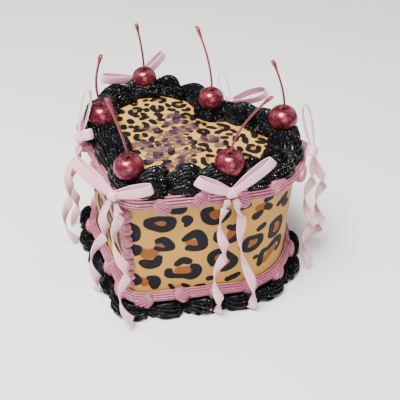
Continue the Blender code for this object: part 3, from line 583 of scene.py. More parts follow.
# Pink cream piped with a fine open star tip: a ridged rope round the wall under its top edge,
# another on the black foot border, and knobs along both. Each knob is a small shell of its own,
# pushed into the rope and drawn off slantwise.
FOOT_LEDGE = 0.0058
ROPES = {
    "top": {"start": 0.80, "middle": 0.1036, "half": 0.0062, "low": 0.0, "high": WALL_HEIGHT - GAP},
    "foot": {"start": 0.33, "middle": 0.0122, "half": 0.0048, "low": FOOT_LEDGE + GAP, "high": 1.0},
}
ROPE_STEP = 0.0012
ROPE_REACH = 0.0064
ROPE_RIDGES = 8
ROPE_RIDGE_DEPTH = 0.30
ROPE_KNOBS = 9
KNOB_SIZE = (0.0069, 0.0058)
KNOB_RIDGES = 17
KNOB_RIDGE_DEPTH = 0.36
KNOB_RIDGE_TWIST = 0.9
KNOB_STEPS = 14
KNOB_OUT = 0.0046
KNOB_LIFT = 0.0016


def piped_knob(distance, z, lean, size, out, low, high):
    """Small ridged shell on the wall: points, faces and grooves. It leans from upright by an angle."""
    length, radius = size
    rings, grooves = [], []
    round_steps = 4 * KNOB_RIDGES
    for k in range(KNOB_STEPS + 1):
        t = k / KNOB_STEPS
        along = -math.cos(math.pi * t) * length
        wide = max(math.sin(math.pi * t ** 0.85), 0.02) ** 0.75
        ring = []
        for j in range(round_steps):
            angle = 2 * math.pi * j / round_steps
            cut = 1 - abs(math.sin(angle * KNOB_RIDGES / 2 + KNOB_RIDGE_TWIST * t))
            grooves.append(cut)
            ridge = 1 - KNOB_RIDGE_DEPTH * cut
            a, b = radius * wide * ridge * math.cos(angle), radius * wide * ridge * math.sin(angle)
            s = distance + along * math.sin(lean) + a * math.cos(lean)
            height = z + along * math.cos(lean) - a * math.sin(lean)
            ring.append((*heart_line(s, max(out + b, GAP)), min(max(height, low), high)))
        rings.append(ring)
    return *skin(rings, closed_row=False), grooves


def piped_rope(rope, draw):
    """Ridged rope against the wall, with its knobs."""
    rings, grooves = [], []
    steps = 6 * ROPE_RIDGES
    waves = [draw.uniform(0, 2 * math.pi) for _ in range(4)]
    for s in round_the_heart(ROPE_STEP):
        turn = math.pi * s / HALF_LENGTH
        wave = sum(math.sin(turn * (7 + 5 * k) + waves[k]) for k in range(4)) / 4
        reach = ROPE_REACH * (1 + 0.05 * wave)
        half = rope["half"] * (1 + 0.07 * wave)
        ring = []
        for step in range(steps + 1):
            angle = math.pi * (step / steps - 0.5)
            cut = 1 - abs(math.sin(angle * ROPE_RIDGES + 0.4 * wave))
            grooves.append(cut)
            ridge = 1 - ROPE_RIDGE_DEPTH * cut
            out = GAP if step in (0, steps) else GAP + reach * ridge * math.cos(angle)
            z = rope["middle"] + half * ridge * math.sin(angle)
            ring.append((*heart_line(s, out), min(max(z, rope["low"]), rope["high"])))
        rings.append(ring)
    points, faces = skin(rings, closed_row=True)
    spacing = HALF_LENGTH / ROPE_KNOBS
    for side in (1, -1):
        for knob in range(ROPE_KNOBS):
            lift = KNOB_LIFT if (knob + (side < 0)) % 2 else -KNOB_LIFT
            lean = draw.uniform(0.6, 1.1) * (1 if draw.random() < 0.5 else -1)
            s = side * (knob + rope["start"]) * spacing
            more, their, cuts = piped_knob(s, rope["middle"] + lift, lean, KNOB_SIZE, KNOB_OUT,
                                           rope["low"], rope["high"])
            put_with(points, faces, more, their)
            grooves += cuts
    return points, faces, grooves


def pipe_on(name, slot, node, material, points, faces, grooves):
    """Make a piece of piped cream, its grooves noted, in the place of its plain solid."""
    piece = make_piece(name, points, faces, material)
    note(piece, "groove", grooves)
    stand_for(piece, slot, node)


PINK, PINK_DEEP, PINK_GROOVE_SHADE = (0.50, 0.150, 0.215, 1), (0.37, 0.100, 0.150, 1), (0.05, 0.009, 0.016, 1)
PINK_FLAKE = (0.9, 0.72, 0.75, 1)
pink_cream, tree, shader = new_material("pink cream", PINK, 0.28)
colour = blend_colours(tree, shade_of(tree, 9.0), PINK, PINK_DEEP)
# Painted shade: the cream darkens towards a deep pink in the bottoms of the grooves between its ridges,
# where shade falls.
colour = blend_colours(tree, noted(tree, "groove"), colour, PINK_GROOVE_SHADE)
colour = blend_colours(tree, flakes_over(tree, 0.5, 0.035, 0.7)["Flakes"], colour, PINK_FLAKE)
connect(tree, shader, {
    "Base Color": colour, "Normal": bumped(tree, shade_of(tree, 1.1), 0.35, 0.0004),
    "Specular IOR Level": 0.6, "Subsurface Weight": 0.05,
    "Subsurface Radius": (0.003, 0.0012, 0.001), "Subsurface Scale": 0.5})

draw = random.Random(5)
for place, rope in ROPES.items():
    pipe_on(f"{place}_rope", "pink_cream", f"{place}_pink_rope", pink_cream, *piped_rope(rope, draw))


# Up the corner at the heart's tip goes a ruffle of the same pink cream: small shells piped one
# over the other, leaning in turn to the left and to the right.
CORNER_MIDDLE = -0.0033
CORNER_SWAY = 0.0006
CORNER_LOW, CORNER_HIGH = 0.0216, 0.0960
CORNER_END = 0.0035
CORNER_OUT = 0.0008
CORNER_LEAN = 0.95
CORNER_BEADS = 13
BEAD_SIZE = (0.0050, 0.0036)
points, faces, grooves = [], [], []
draw = random.Random(8)
for bead in range(CORNER_BEADS):
    z = mix((CORNER_LOW + CORNER_END, CORNER_HIGH - CORNER_END), bead / (CORNER_BEADS - 1))
    way = 1 if bead % 2 else -1
    lean = way * CORNER_LEAN + draw.uniform(-0.12, 0.12)
    more, their, cuts = piped_knob(CORNER_MIDDLE + way * CORNER_SWAY, z, lean, BEAD_SIZE, CORNER_OUT,
                                   CORNER_LOW, CORNER_HIGH)
    put_with(points, faces, more, their)
    grooves += cuts
pipe_on("corner_ruffle", "pink_cream", "corner_piping", pink_cream, points, faces, grooves)


# Two borders of black cream piped as shells with a large open star tip, one round the top and one
# round the foot. Every shell swells from its head and thins to its tail, its ridges fan out and
# run together again, and silver glitter is strewn over its ridges in patches.
SHELL_HEAD = 0.62
SHELL_FULLNESS = 0.8
# Top shells on the right half (1) and the left (-1), from the tip to the cleft: where they begin and
# end and where their middles lie off the wall's line, in mm, how full they are and how far they
# reach inwards
TOP_SHELL_BOUNDS = {1: (0, 26, 48, 72, 97, 122, 148, 173, 196, 219, 240.5),
                    -1: (0, 28, 58, 89, 118, 148, 174.5, 200, 229, 240.5)}
TOP_SHELL_MIDDLE = {1: (-8.8, -8.8, -8.8, -8.8, -8.8, -8.8, -9.5, -13.0, -13.5, -11.5),
                    -1: (-8.8, -8.8, -8.8, -8.8, -8.8, -8.8, -8.8, -8.8, -10.5)}
TOP_SHELL_SIZES = {1: (0.95, 0.92, 0.95, 1.0, 1.05, 1.0, 1.0, 0.85, 0.65, 0.5),
                   -1: (1.0, 0.95, 1.05, 0.92, 1.05, 1.1, 1.25, 1.05, 0.6)}
TOP_SHELL_INNER = {1: (0.9, 0.8, 0.8, 0.85, 0.95, 1.0, 1.1, 1.3, 1.3, 1.2),
                   -1: (0.9, 1.0, 1.0, 1.0, 0.85, 0.65, 0.55, 0.75, 1.1)}
TOP_SHELL_WIDTH = (0.0208, 0.0280)
TOP_SHELL_HEIGHT = (0.0044, 0.0126)
TOP_STEP, TOP_ROUND_STEPS = 0.00085, 104
FOOT_SHELLS = 9
FOOT_SHELL_START = 0.33
FOOT_SHELL_LENGTH = HALF_LENGTH / MM / FOOT_SHELLS
FOOT_SHELL_BOUNDS = [(k - 1 + FOOT_SHELL_START) * FOOT_SHELL_LENGTH for k in range(FOOT_SHELLS + 2)]
FOOT_SHELL_REACH = (0.0112, 0.0178)
FOOT_SHELL_HEIGHT = (0.0070, 0.0130)
FOOT_SHELL_UNEVEN = (0.85, 1.06)
FOOT_INNER = ROPE_REACH + 0.0009
FOOT_STEP, FOOT_ROUND_STEPS = 0.0009, 64
HANG_FROM, HANG_OVER, HANG_DOWN = 0.0006, 0.0040, 0.0028
RIDGE_DEPTH = 0.0022
TOP_RIDGES, FOOT_RIDGES = 11, 7
FAN = 0.35
WAVER_LONG, WAVER_SHORT = 0.0031, 0.0013
STEEPEST_SWELL = 0.07
MOST_PARTS = 6
# Cherries: x, y and radius, the stem's rise, its lean along x and along y, and how far it bends
CHERRY_MIDDLE_Z = 0.1215
CHERRIES = {
    "tip": (-0.0062, -0.0592, 0.0104, 0.043, -0.010, -0.005, 0.003),
    "side_right": (0.0498, -0.0220, 0.0106, 0.043, 0.020, 0.010, 0.002),
    "side_left": (-0.0586, -0.0140, 0.0112, 0.041, 0.004, -0.001, -0.004),
    "lobe_right": (0.0598, 0.0505, 0.0113, 0.038, -0.011, -0.006, 0.0015),
    "lobe_left": (-0.0630, 0.0530, 0.0100, 0.039, -0.004, -0.003, 0.001),
    "cleft": (0.0, 0.0500, 0.0101, 0.044, -0.019, 0.009, -0.001),
}
CHERRY_SQUASH = 0.94
SOCKET_CLEARANCE = 0.0003


def swell_at(s, bounds, sizes):
    """How swollen a border is at a distance along the wall."""
    side, run = (-1 if s < 0 else 1), abs(s) / MM
    edges = bounds[side]
    shell = max([k for k in range(len(edges) - 1) if edges[k] <= run])
    from_head = max(0.0, edges[shell + 1] - run) / (edges[shell + 1] - edges[shell])
    return abs(math.sin(math.pi * from_head ** SHELL_HEAD)) ** SHELL_FULLNESS * sizes[side][shell]


def from_shell_to_shell(s, values):
    """A value given at the middle of each top shell, blended in between."""
    side = -1 if s < 0 else 1
    edges = TOP_SHELL_BOUNDS[side]
    middles = [(a + b) / 2 for a, b in zip(edges, edges[1:])]
    return float(np.interp(abs(s) / MM, middles, values[side]))


def stations_along(step, bounds, sizes):
    """Distances along the wall for a border, closer together where it swells steeply."""
    even = round_the_heart(step)
    stations = []
    for s, following in zip(even, even[1:] + even[:1]):
        stations.append(s)
        change = abs(swell_at(s, bounds, sizes) - swell_at(following, bounds, sizes))
        parts = min(MOST_PARTS, math.ceil(change / STEEPEST_SWELL))
        if abs(following - s) < 2 * step:
            stations += [mix((s, following), k / parts) for k in range(1, parts)]
    return stations


def groove_depth(phase):
    """0 on a ridge and -1 at the bottom of the groove beside it."""
    return abs(math.sin(math.pi * phase)) ** 0.85 - 1.0


def press_down(x, y, z):
    """Height of a point of cream once a cherry is pressed into it."""
    for cx, cy, radius, *_ in CHERRIES.values():
        room = (radius + SOCKET_CLEARANCE) ** 2 - (x - cx) ** 2 - (y - cy) ** 2
        if room > 0:
            z = max(min(z, CHERRY_MIDDLE_Z - CHERRY_SQUASH * math.sqrt(room)), WALL_HEIGHT + GAP)
    return z


def top_shells():
    """The top border's points, faces and grooves; its outer rim hangs over the wall's edge."""
    rings, grooves = [], []
    for s in stations_along(TOP_STEP, TOP_SHELL_BOUNDS, TOP_SHELL_SIZES):
        inner = from_shell_to_shell(s, TOP_SHELL_INNER)
        middle = from_shell_to_shell(s, TOP_SHELL_MIDDLE) * MM
        swell = swell_at(s, TOP_SHELL_BOUNDS, TOP_SHELL_SIZES)
        half, height = mix(TOP_SHELL_WIDTH, swell) / 2, mix(TOP_SHELL_HEIGHT, swell)
        spread = 1 + FAN * max(0.0, 1 - swell)
        waver = 0.35 * math.sin(s / WAVER_LONG) + 0.25 * math.sin(s / WAVER_SHORT + 1)
        ring = []
        for step in range(TOP_ROUND_STEPS + 1):
            share = step / TOP_ROUND_STEPS
            angle = math.pi * share
            run = share if share < 0.5 else 0.5 + (share - 0.5) * inner
            low = groove_depth(TOP_RIDGES * run * spread + 0.3 * waver)
            grooves.append(-low)
            cut = RIDGE_DEPTH * low * math.sin(angle) ** 0.3
            across = (half + cut) * math.cos(angle)
            out = middle + (across if across > 0 else across * inner)
            z = WALL_HEIGHT + GAP + max(0.0, (height + cut) * math.sin(angle) ** SHELL_FULLNESS)
            hang = min(1.0, max(0.0, (out - HANG_FROM) / HANG_OVER))
            x, y = heart_line(s, out)
            ring.append((x, y, press_down(x, y, z) - HANG_DOWN * hang * hang * (3 - 2 * hang)))
        ring.append((*heart_line(s, 0.0), WALL_HEIGHT + GAP))
        grooves.append(1.0)
        rings.append(ring)
    return *skin(rings, closed_row=True), grooves


def foot_shells(draw):
    """The foot border's points, faces and grooves, with the ledge that the pink rope lies on."""
    sizes = {side: [draw.uniform(*FOOT_SHELL_UNEVEN) for _ in range(FOOT_SHELLS)] for side in (1, -1)}
    sizes = {side: [own[-1]] + own for side, own in sizes.items()}
    bounds = {1: FOOT_SHELL_BOUNDS, -1: FOOT_SHELL_BOUNDS}
    rings, grooves = [], []
    for s in stations_along(FOOT_STEP, bounds, sizes):
        swell = swell_at(s, bounds, sizes)
        outer, height = mix(FOOT_SHELL_REACH, swell), mix(FOOT_SHELL_HEIGHT, swell)
        middle, half = (FOOT_INNER + outer) / 2, (outer - FOOT_INNER) / 2
        spread = 1 + FAN * max(0.0, 1 - swell)
        at_wall = heart_line(s, GAP)
        ring = [(*at_wall, 0.0), (*at_wall, FOOT_LEDGE), (*heart_line(s, FOOT_INNER), FOOT_LEDGE)]
        grooves += [1.0, 1.0, 1.0]
        for step in range(1, FOOT_ROUND_STEPS):
            share = step / FOOT_ROUND_STEPS
            angle = math.pi * (1 - share)
            base = FOOT_LEDGE * (1 - share)
            low = groove_depth(FOOT_RIDGES * share * spread + 0.1 * math.sin(s / WAVER_LONG))
            grooves.append(-low)
            cut = RIDGE_DEPTH * low
            rise = (height - base + cut) * math.sin(angle) ** SHELL_FULLNESS
            ring.append((*heart_line(s, middle + (half + cut) * math.cos(angle)), max(base + rise, 0.0)))
        ring.append((*heart_line(s, outer - RIDGE_DEPTH), 0.0))
        grooves.append(1.0)
        rings.append(ring)
    return *skin(rings, closed_row=True), grooves


BLACK, BLACK_WORN = (0.0012, 0.0012, 0.0018, 1), (0.0026, 0.0026, 0.0036, 1)
SILVER = (0.75, 0.76, 0.78, 1)
black_cream, tree, shader = new_material("black cream", BLACK, 0.14)
shade = shade_of(tree, 5.0)
flakes = flakes_over(tree, 0.5, 0.10, 0.8)
on_ridges = math_node(tree, "SUBTRACT", 1.0, noted(tree, "groove"), clamp=True)
in_patches = math_node(tree, "MULTIPLY", flakes["Flakes"], stretch(tree, shade, 0.46, 0.60))
strewn = math_node(tree, "MULTIPLY", in_patches, on_ridges)
colour = blend_colours(tree, strewn, blend_colours(tree, shade, BLACK, BLACK_WORN), SILVER)
bump = bumped(tree, shade_of(tree, 1.5), 0.45, 0.0005)
connect(tree, shader, {
    "Base Color": colour, "Normal": blend_normals(tree, strewn, bump, flakes["Normal"]),
    "Roughness": stretch(tree, shade, 0.0, 1.0, 0.12, 0.20),
    "Metallic": math_node(tree, "MULTIPLY", strewn, 0.7), "Specular IOR Level": 0.09})

pipe_on("top_shells", "black_cream", "top_black_border", black_cream, *top_shells())
pipe_on("foot_shells", "black_cream", "foot_black_border", black_cream, *foot_shells(random.Random(3)))


# Six cocktail cherries on their stems, rolled in pink and silver glitter and pressed into the black
# cream. The skin draws in round the stem, and each stem ends in a thicker nub.
FRUIT_ROUND, FRUIT_LEVELS, STEM_STEPS = 40, 26, 22
FRUIT_TOP = 0.965
FRUIT_UNEVEN = 0.012
DIMPLE_DEPTH, DIMPLE_WIDTH = 0.0022, 0.33
STEM_RADIUS, STEM_END_RADIUS = 0.00085, 0.0019
STEM_END_FROM = 0.82
STEM_LEAN_CURVE = 1.6
CHERRY_DARK, CHERRY_RED = (0.075, 0.005, 0.010, 1), (0.185, 0.019, 0.033, 1)
CHERRY_SPECKLE, CHERRY_FLAKE = (0.28, 0.068, 0.098, 1), (0.36, 0.12, 0.16, 1)
STEM_DARK, STEM_RED = (0.11, 0.010, 0.014, 1), (0.19, 0.030, 0.036, 1)

cherry_skin, tree, shader = new_material("glittered cherry", CHERRY_RED, 0.30, 0.6)
flakes = flakes_over(tree, 0.4, 0.07, 0.5)
colour = blend_colours(tree, stretch(tree, shade_of(tree, 6.0), 0.3, 0.7), CHERRY_DARK, CHERRY_RED)
colour = blend_colours(tree, stretch(tree, shade_of(tree, 2.4), 0.50, 0.75), colour, CHERRY_SPECKLE)
colour = blend_colours(tree, flakes["Flakes"], colour, CHERRY_FLAKE)
facing = tree.nodes.new("ShaderNodeNewGeometry").outputs["Normal"]
connect(tree, shader, {
    "Base Color": colour, "Normal": blend_normals(tree, flakes["Flakes"], facing, flakes["Normal"]),
    "Specular Tint": (0.50, 0.22, 0.27, 1), "Coat Weight": 0.6, "Coat Roughness": 0.07, "Coat IOR": 1.45})

stem_skin, tree, shader = new_material("cherry stem", STEM_RED, 0.35)
connect(tree, shader, {"Base Color": blend_colours(tree, shade_of(tree, 4.0), STEM_DARK, STEM_RED)})


def make_cherry(name, size):
    x, y, radius, rise, lean_x, lean_y, bend = size
    rings = []
    for level in range(FRUIT_LEVELS + 1):
        angle = math.pi * (level / FRUIT_LEVELS * FRUIT_TOP - 0.5)
        across = max(radius * math.cos(angle), 0.0002)
        z = radius * CHERRY_SQUASH * math.sin(angle)
        if z > 0:
            z -= DIMPLE_DEPTH * math.exp(-(across / (DIMPLE_WIDTH * radius)) ** 2)
        ring = []
        for k in range(FRUIT_ROUND):
            turn = 2 * math.pi * k / FRUIT_ROUND
            r = across * (1 + FRUIT_UNEVEN * math.sin(2 * turn + x * 300) * math.cos(angle))
            ring.append((x + r * math.cos(turn), y + r * math.sin(turn), CHERRY_MIDDLE_Z + z))
        rings.append(ring)
    lean = Vector((lean_x, lean_y, 0.0))
    sideways = Vector((-lean_y, lean_x, 0.0)).normalized() * bend
    stem_foot = CHERRY_MIDDLE_Z + radius * CHERRY_SQUASH - DIMPLE_DEPTH
    for step in range(STEM_STEPS + 1):
        share = step / STEM_STEPS
        middle = Vector((x, y, stem_foot + rise * share))
        middle += lean * share ** STEM_LEAN_CURVE + sideways * math.sin(math.pi * share)
        end = max(0.0, (share - STEM_END_FROM) / (1 - STEM_END_FROM))
        wide = mix((STEM_RADIUS, STEM_END_RADIUS), end * end * (3 - 2 * end))
        wide *= 1 + 0.5 * max(0.0, 0.1 - share) / 0.1
        if step == STEM_STEPS:
            wide *= 0.8
        turns = [2 * math.pi * k / FRUIT_ROUND for k in range(FRUIT_ROUND)]
        rings.append([tuple(middle + Vector((math.cos(turn), math.sin(turn), 0)) * wide) for turn in turns])
    points, faces = skin(rings, closed_row=False)
    faces.append(tuple(range(len(points) - FRUIT_ROUND, len(points))))
    piece = make_piece(name, points, faces, cherry_skin)
    piece.data.materials.append(stem_skin)
    for face in piece.data.polygons[FRUIT_LEVELS * FRUIT_ROUND:]:
        face.material_index = 1
    return piece


for place, size in CHERRIES.items():
    stand_for(make_cherry(f"glittered_cherry_{place}", size), "cherry", f"cherry_{place}")


# Six bows of pale pink satin ribbon are pinned in the rope under the black border. Each has a small
# knot and two flat loops.
RIBBON_WIDTH = 0.0068
RIBBON_THICK = 0.0004
RIBBON_ACROSS = 8
KNOT_SIZE = (0.0038, 0.0031, 0.0036)
KNOT_STEPS, KNOT_ROUND = 12, 28
KNOT_FOLD = 0.10
LOOP_STEPS = 56
LOOP_MOUTH = 0.0009
LOOP_POINTED = 0.85
LOOP_BELLY = 2.2
LOOP_CUP, TAIL_CUP = 0.0003, 0.0002
OUT, ALONG, UP = Vector((1, 0, 0)), Vector((0, 1, 0)), Vector((0, 0, 1))
# Each bow's place: the half that it is on, its share of the way from the tip to the cleft, and how
# far out and how high it is. A loop: its length, its rise and its roll in degrees, its lean outwards
# and its opening. A tail: its side of the knot, its foot, its belly outwards, the radius of its curl,
# the curl's turns, and where in a turn it starts, in degrees.
BOWS = {
    "tip": {
        "place": (-1, 0.0121, 0.0110, 0.1125),
        "loops": [(0.0330, 143, 30, 0.25, 0.0035), (0.0270, 20, 10, -0.72, 0.0030)],
        "tails": [(-1, (-0.0333, -0.0752, 0.0015), 0.0, 0.0034, 1.8, -89),
                  (1, (0.0080, -0.0910, 0.0040), 0.002, 0.0038, 2.05, 116)],
    },
    "side_right": {
        "place": (1, 0.277, 0.0105, 0.1125),
        "loops": [(0.0275, 151, 0, 0.04, 0.0030), (0.0350, 44, 0, 0.02, 0.0028)],
        "tails": [(-1, (0.0604, -0.0502, 0.0020), 0.0, 0.0030, 2.1, 115),
                  (1, (0.0815, -0.0340, 0.0030), 0.0, 0.0030, 1.25, 67)],
    },
    "side_left": {
        "place": (-1, 0.300, 0.0095, 0.1120),
        "loops": [(0.0206, 38, 0, -0.19, 0.0045), (0.0360, 115, 0, -0.42, 0.0030)],
        "tails": [(-1, (-0.0938, -0.0190, 0.0020), 0.0, 0.0032, 1.7, 60),
                  (1, (-0.0815, -0.0345, 0.0020), 0.009, 0.0034, 1.6, 250)],
    },
    "lobe_right": {
        "place": (1, 0.5975, 0.0106, 0.1115),
        "loops": [(0.0340, 72, 0, -0.42, 0.0030), (0.0200, 147, 0, 0.06, 0.0042)],
        "tails": [(-1, (0.1035, 0.0336, 0.0015), 0.0, 0.0034, 2.4, -105),
                  (1, (0.0955, 0.0560, 0.0015), 0.009, 0.0040, 2.0, -144)],
    },
    "lobe_left": {
        "place": (-1, 0.710, 0.0110, 0.1130),
        "loops": [(0.0345, 15, 0, 0.06, 0.0040), (0.0310, 146, 0, 0.02, 0.0030)],
        "tails": [(-1, (-0.0725, 0.0795, 0.0020), 0.0, 0.0032, 2.1, 150),
                  (1, (-0.0860, 0.0680, 0.0020), 0.004, 0.0034, 1.7, 30)],
    },
    "cleft": {
        "place": (1, 0.986, 0.0140, 0.1060),
        "loops": [(0.0250, 61, 128, 0.12, 0.0035), (0.0330, 154, 30, 0.25, 0.0055)],
        "tails": [(-1, (0.0130, 0.0925, 0.0020), 0.0, 0.0030, 2.2, 200),
                  (1, (-0.0080, 0.0915, 0.0020), 0.003, 0.0032, 1.8, 20)],
    },
}


def knot_place(place):
    """Where a knot is and which way it faces: +X out of the wall and +Y along it."""
    side, part, offset, z = place
    x, y = heart_line(side * part * HALF_LENGTH, offset)
    wall_x, wall_y = heart_line(side * part * HALF_LENGTH, 0.0)
    turn = Matrix.Rotation(math.atan2(y - wall_y, x - wall_x), 4, "Z")
    return Matrix.Translation((x, y, z)) @ turn


def ribbon_skin(route, looks, widths, cup, frame_of):
    """Thin closed band along a route, a little hollow across, with its place across and along it."""
    rings, places = [], []
    last = len(route) - 1
    travelled = 0.0
    across = [2 * j / RIBBON_ACROSS - 1 for j in range(RIBBON_ACROSS + 1)]
    both_faces = [(t, RIBBON_THICK / 2) for t in across]
    both_faces += [(t, -RIBBON_THICK / 2) for t in reversed(across)]
    for k, point in enumerate(route):
        run = (route[min(k + 1, last)] - route[max(k - 1, 0)]).normalized()
        side = run.cross(looks[k]).normalized()
        face = side.cross(run)
        if k:
            travelled += (point - route[k - 1]).length
        ring = []
        for t, lift in both_faces:
            spot = point + side * t * widths[k] / 2 + face * (cup * (t * t - 0.4) + lift)
            ring.append(tuple(frame_of @ spot))
            places.append((t, travelled))
        rings.append(ring)
    points, faces = skin(rings, closed_row=False)
    close_ends(points, faces, len(both_faces))
    return points, faces, places


def loop_band(loop, frame_of):
    length, rise, roll, lean, opening = loop
    rise, roll = math.radians(rise), math.radians(roll)
    run = (ALONG * math.cos(rise) + UP * math.sin(rise) + OUT * lean).normalized()
    face = Matrix.Rotation(roll, 3, run) @ (OUT - run * OUT.dot(run)).normalized()
    route, widths = [], []
    for k in range(LOOP_STEPS + 1):
        turn = 2 * math.pi * k / LOOP_STEPS
        reach = length * (0.5 - 0.5 * math.cos(turn)) ** LOOP_POINTED
        bulge = opening * LOOP_BELLY * math.sin(turn / 2) ** 2
        route.append(run * reach + face * (LOOP_MOUTH + bulge) * math.cos(turn / 2))
        from_knot = min(k, LOOP_STEPS - k) / LOOP_STEPS
        widths.append(RIBBON_WIDTH * min(1.0, 0.55 + 2.2 * from_knot))
    across = run.cross(face)
    last = LOOP_STEPS
    looks = [(route[min(k + 1, last)] - route[max(k - 1, 0)]).cross(across) for k in range(last + 1)]
    return ribbon_skin(route, looks, widths, LOOP_CUP, frame_of)


def knot_band(frame_of):
    """Short wrapped band with rounded folds."""
    rings, places = [], []
    for k in range(KNOT_STEPS + 1):
        t = 2 * k / KNOT_STEPS - 1
        size = 0.55 + 0.45 * (1 - t * t) ** 0.5
        ring = []
        for j in range(KNOT_ROUND):
            angle = 2 * math.pi * j / KNOT_ROUND
            fold = 1 + KNOT_FOLD * math.sin(3 * angle + 4 * t)
            spot = (ALONG * KNOT_SIZE[0] * t + OUT * KNOT_SIZE[1] * size * fold * math.cos(angle)
                    + UP * KNOT_SIZE[2] * size * fold * math.sin(angle))
            ring.append(tuple(frame_of @ spot))
            places.append((0.7 * t, 0.002 * angle))
        rings.append(ring)
    points, faces = skin(rings, closed_row=False)
    close_ends(points, faces, KNOT_ROUND)
    return points, faces, places


def make_ribbon(name, points, faces, places, node):
    """Ribbon piece that knows its place across and along the ribbon."""
    piece = make_piece(name, points, faces, satin)
    note(piece, "across", [across for across, along in places])
    note(piece, "along", [along for across, along in places])
    stand_for(piece, "satin_ribbon", node)
    return piece


SATIN, SATIN_SHADE, SATIN_EDGE_HIGHLIGHT = (0.76, 0.39, 0.475, 1), (0.62, 0.28, 0.36, 1), (0.84, 0.58, 0.64, 1)
THREADS_ACROSS, THREADS_ALONG = 26.0, 90.0
satin, tree, shader = new_material("satin ribbon", SATIN, 0.38)
across = noted(tree, "across")
threads_at = add_node(tree, "ShaderNodeCombineXYZ", {
    "X": math_node(tree, "MULTIPLY", across, THREADS_ACROSS),
    "Y": math_node(tree, "MULTIPLY", noted(tree, "along"), THREADS_ALONG)}).outputs[0]
threads = add_node(tree, "ShaderNodeTexNoise", {"Vector": threads_at, "Scale": 1.0, "Detail": 2.0},
                   noise_dimensions="2D").outputs["Fac"]
# Painted highlight: the ribbon is lightened towards a pale pink along its long edges, where light catches
# them.
edge = stretch(tree, math_node(tree, "ABSOLUTE", across), 0.86, 0.94)
colour = blend_colours(tree, math_node(tree, "MULTIPLY", threads, 0.6), SATIN, SATIN_SHADE)
colour = blend_colours(tree, math_node(tree, "MULTIPLY", edge, 0.35), colour, SATIN_EDGE_HIGHLIGHT)
connect(tree, shader, {
    "Base Color": colour, "Roughness": stretch(tree, shade_of(tree, 7.0), 0.0, 1.0, 0.24, 0.38),
    "Normal": bumped(tree, threads, 0.3, 0.0002), "Specular IOR Level": 0.8,
    "Sheen Weight": 0.2, "Sheen Roughness": 0.35, "Sheen Tint": (1.0, 0.92, 0.95, 1.0)})

for place, bow in BOWS.items():
    frame_of = knot_place(bow["place"])
    points, faces, places = knot_band(frame_of)
    for loop in bow["loops"]:
        more, their, spots = loop_band(loop, frame_of)
        put_with(points, faces, more, their)
        places += spots
    make_ribbon(f"ribbon_bow_{place}", points, faces, places, f"bow_{place}")


# Two curled tails hang from each knot to the foot border. They are the same satin ribbon, drawn
# over a blade so that they curl, and cut square at the ends.
TAIL_STEPS = 96
TAIL_ROUTE_STEPS = 32
TAIL_START_WIDTH = 0.0036
TAIL_WIDENS = 12.0
TAIL_SPLIT = 0.0027
TAIL_START_BELOW = 0.0046 + GAP + 0.0005
TAIL_SETTLE = 0.15
TAIL_SPREAD = 1.5
CURL_OPENS = 0.2
CURL_CLOSES = 0.85
CURL_AT_FOOT = 0.62


def tail_route(tail, frame_of, steps):
    """Middle line of a curled tail, and the way its face looks, from the knot to its foot."""
    start_side, foot, belly, curl, turns, phase = tail
    start = ALONG * TAIL_SPLIT * start_side - UP * TAIL_START_BELOW
    way = frame_of.inverted() @ Vector(foot) - start
    route, looks = [], []
    for k in range(steps + 1):
        share = k / steps
        angle = math.radians(phase) + 2 * math.pi * turns * share
        radial = OUT * math.cos(angle) + ALONG * math.sin(angle)
        closing = max(0.0, share - CURL_CLOSES) / (1.0 - CURL_CLOSES)
        radius = curl * min(1.0, share / CURL_OPENS) * mix((1.0, CURL_AT_FOOT), closing)
        point = start + ALONG * way.y * (1 - (1 - share) ** TAIL_SPREAD)
        point += OUT * (way.x * share + belly * math.sin(math.pi * share))
        route.append(point + UP * way.z * share + radial * radius)
        settled = min(1.0, share / TAIL_SETTLE)
        looks.append(radial * settled + OUT * (1.0 - settled))
    return route, looks


opened = [min(1.0, TAIL_WIDENS * k / TAIL_STEPS) for k in range(TAIL_STEPS + 1)]
tail_widths = [mix((TAIL_START_WIDTH, RIBBON_WIDTH), share) for share in opened]
for place, bow in BOWS.items():
    frame_of = knot_place(bow["place"])
    for letter, tail in zip("ab", bow["tails"]):
        band = ribbon_skin(*tail_route(tail, frame_of, TAIL_STEPS), tail_widths, TAIL_CUP, frame_of)
        piece = make_ribbon(f"ribbon_tail_{place}_{letter}", *band, f"tail_{place}_{letter}")
        line = [frame_of @ point for point in tail_route(tail, frame_of, TAIL_ROUTE_STEPS)[0]]
        length = sum((b - a).length for a, b in zip(line, line[1:]))


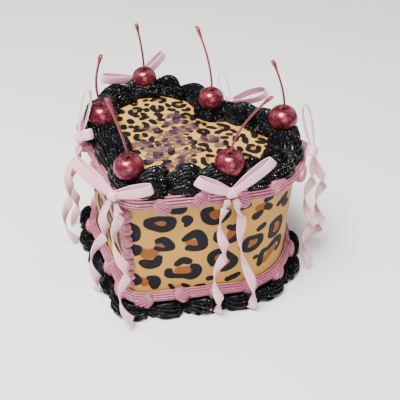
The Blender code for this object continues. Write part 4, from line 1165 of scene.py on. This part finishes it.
# The studio is a plain pale floor in even grey air, under one large soft light overhead and three
# fainter ones from the front, the left and the back.
FLOOR_HALF = 3.0
FLOOR_PALE, FLOOR_DEEP = (0.82, 0.81, 0.79, 1), (0.78, 0.77, 0.75, 1)
floor_paint, tree, shader = new_material("pale floor", FLOOR_PALE, 0.6)
connect(tree, shader, {"Base Color": blend_colours(tree, shade_of(tree, 300.0), FLOOR_PALE, FLOOR_DEEP)})
corners = [(x * FLOOR_HALF, y * FLOOR_HALF, 0) for x, y in ((-1, -1), (1, -1), (1, 1), (-1, 1))]
floor = make_piece("floor", corners, [(0, 1, 2, 3)], floor_paint)


def soft_light(name, place, size, power, aim=(0, 0, 0.06)):
    lamp = bpy.data.lights.new(name, "AREA")
    lamp.shape = "DISK"
    lamp.size, lamp.energy = size, power
    light = bpy.data.objects.new(name, lamp)
    light.location = place
    light.rotation_euler = (Vector(aim) - Vector(place)).to_track_quat("-Z", "Y").to_euler()
    bpy.context.scene.collection.objects.link(light)


soft_light("overhead", (-0.10, -0.45, 1.25), 0.68, 52, aim=(0, 0, 0.08))
soft_light("front_fill", (1.0, -1.2, 0.8), 1.2, 15)
soft_light("left_fill", (-1.2, -0.3, 0.9), 1.8, 9)
soft_light("back_fill", (0.5, 1.3, 1.0), 1.8, 11)
world = bpy.data.worlds.new("studio air")
world.use_nodes = True
air = world.node_tree.nodes["Background"]
connect(world.node_tree, air, {"Color": (0.62, 0.63, 0.64, 1), "Strength": 0.28})
bpy.context.scene.world = world

CAMERA_PLACE = (0.17248, -0.31999, 0.348)
RIGHT = Vector((0.8884, 0.4579, 0.0329)).normalized()
AHEAD = Vector((-0.3382, 0.7014, -0.6274)).normalized()
DOWN = AHEAD.cross(RIGHT).normalized()
lens = bpy.data.cameras.new("camera")
lens.lens, lens.sensor_width = 52.78, 36.0
camera = bpy.data.objects.new("camera", lens)
facing = Matrix((RIGHT, -DOWN, -AHEAD)).transposed().to_4x4()
camera.matrix_world = Matrix.Translation(CAMERA_PLACE) @ facing
bpy.context.scene.collection.objects.link(camera)
bpy.context.scene.camera = camera
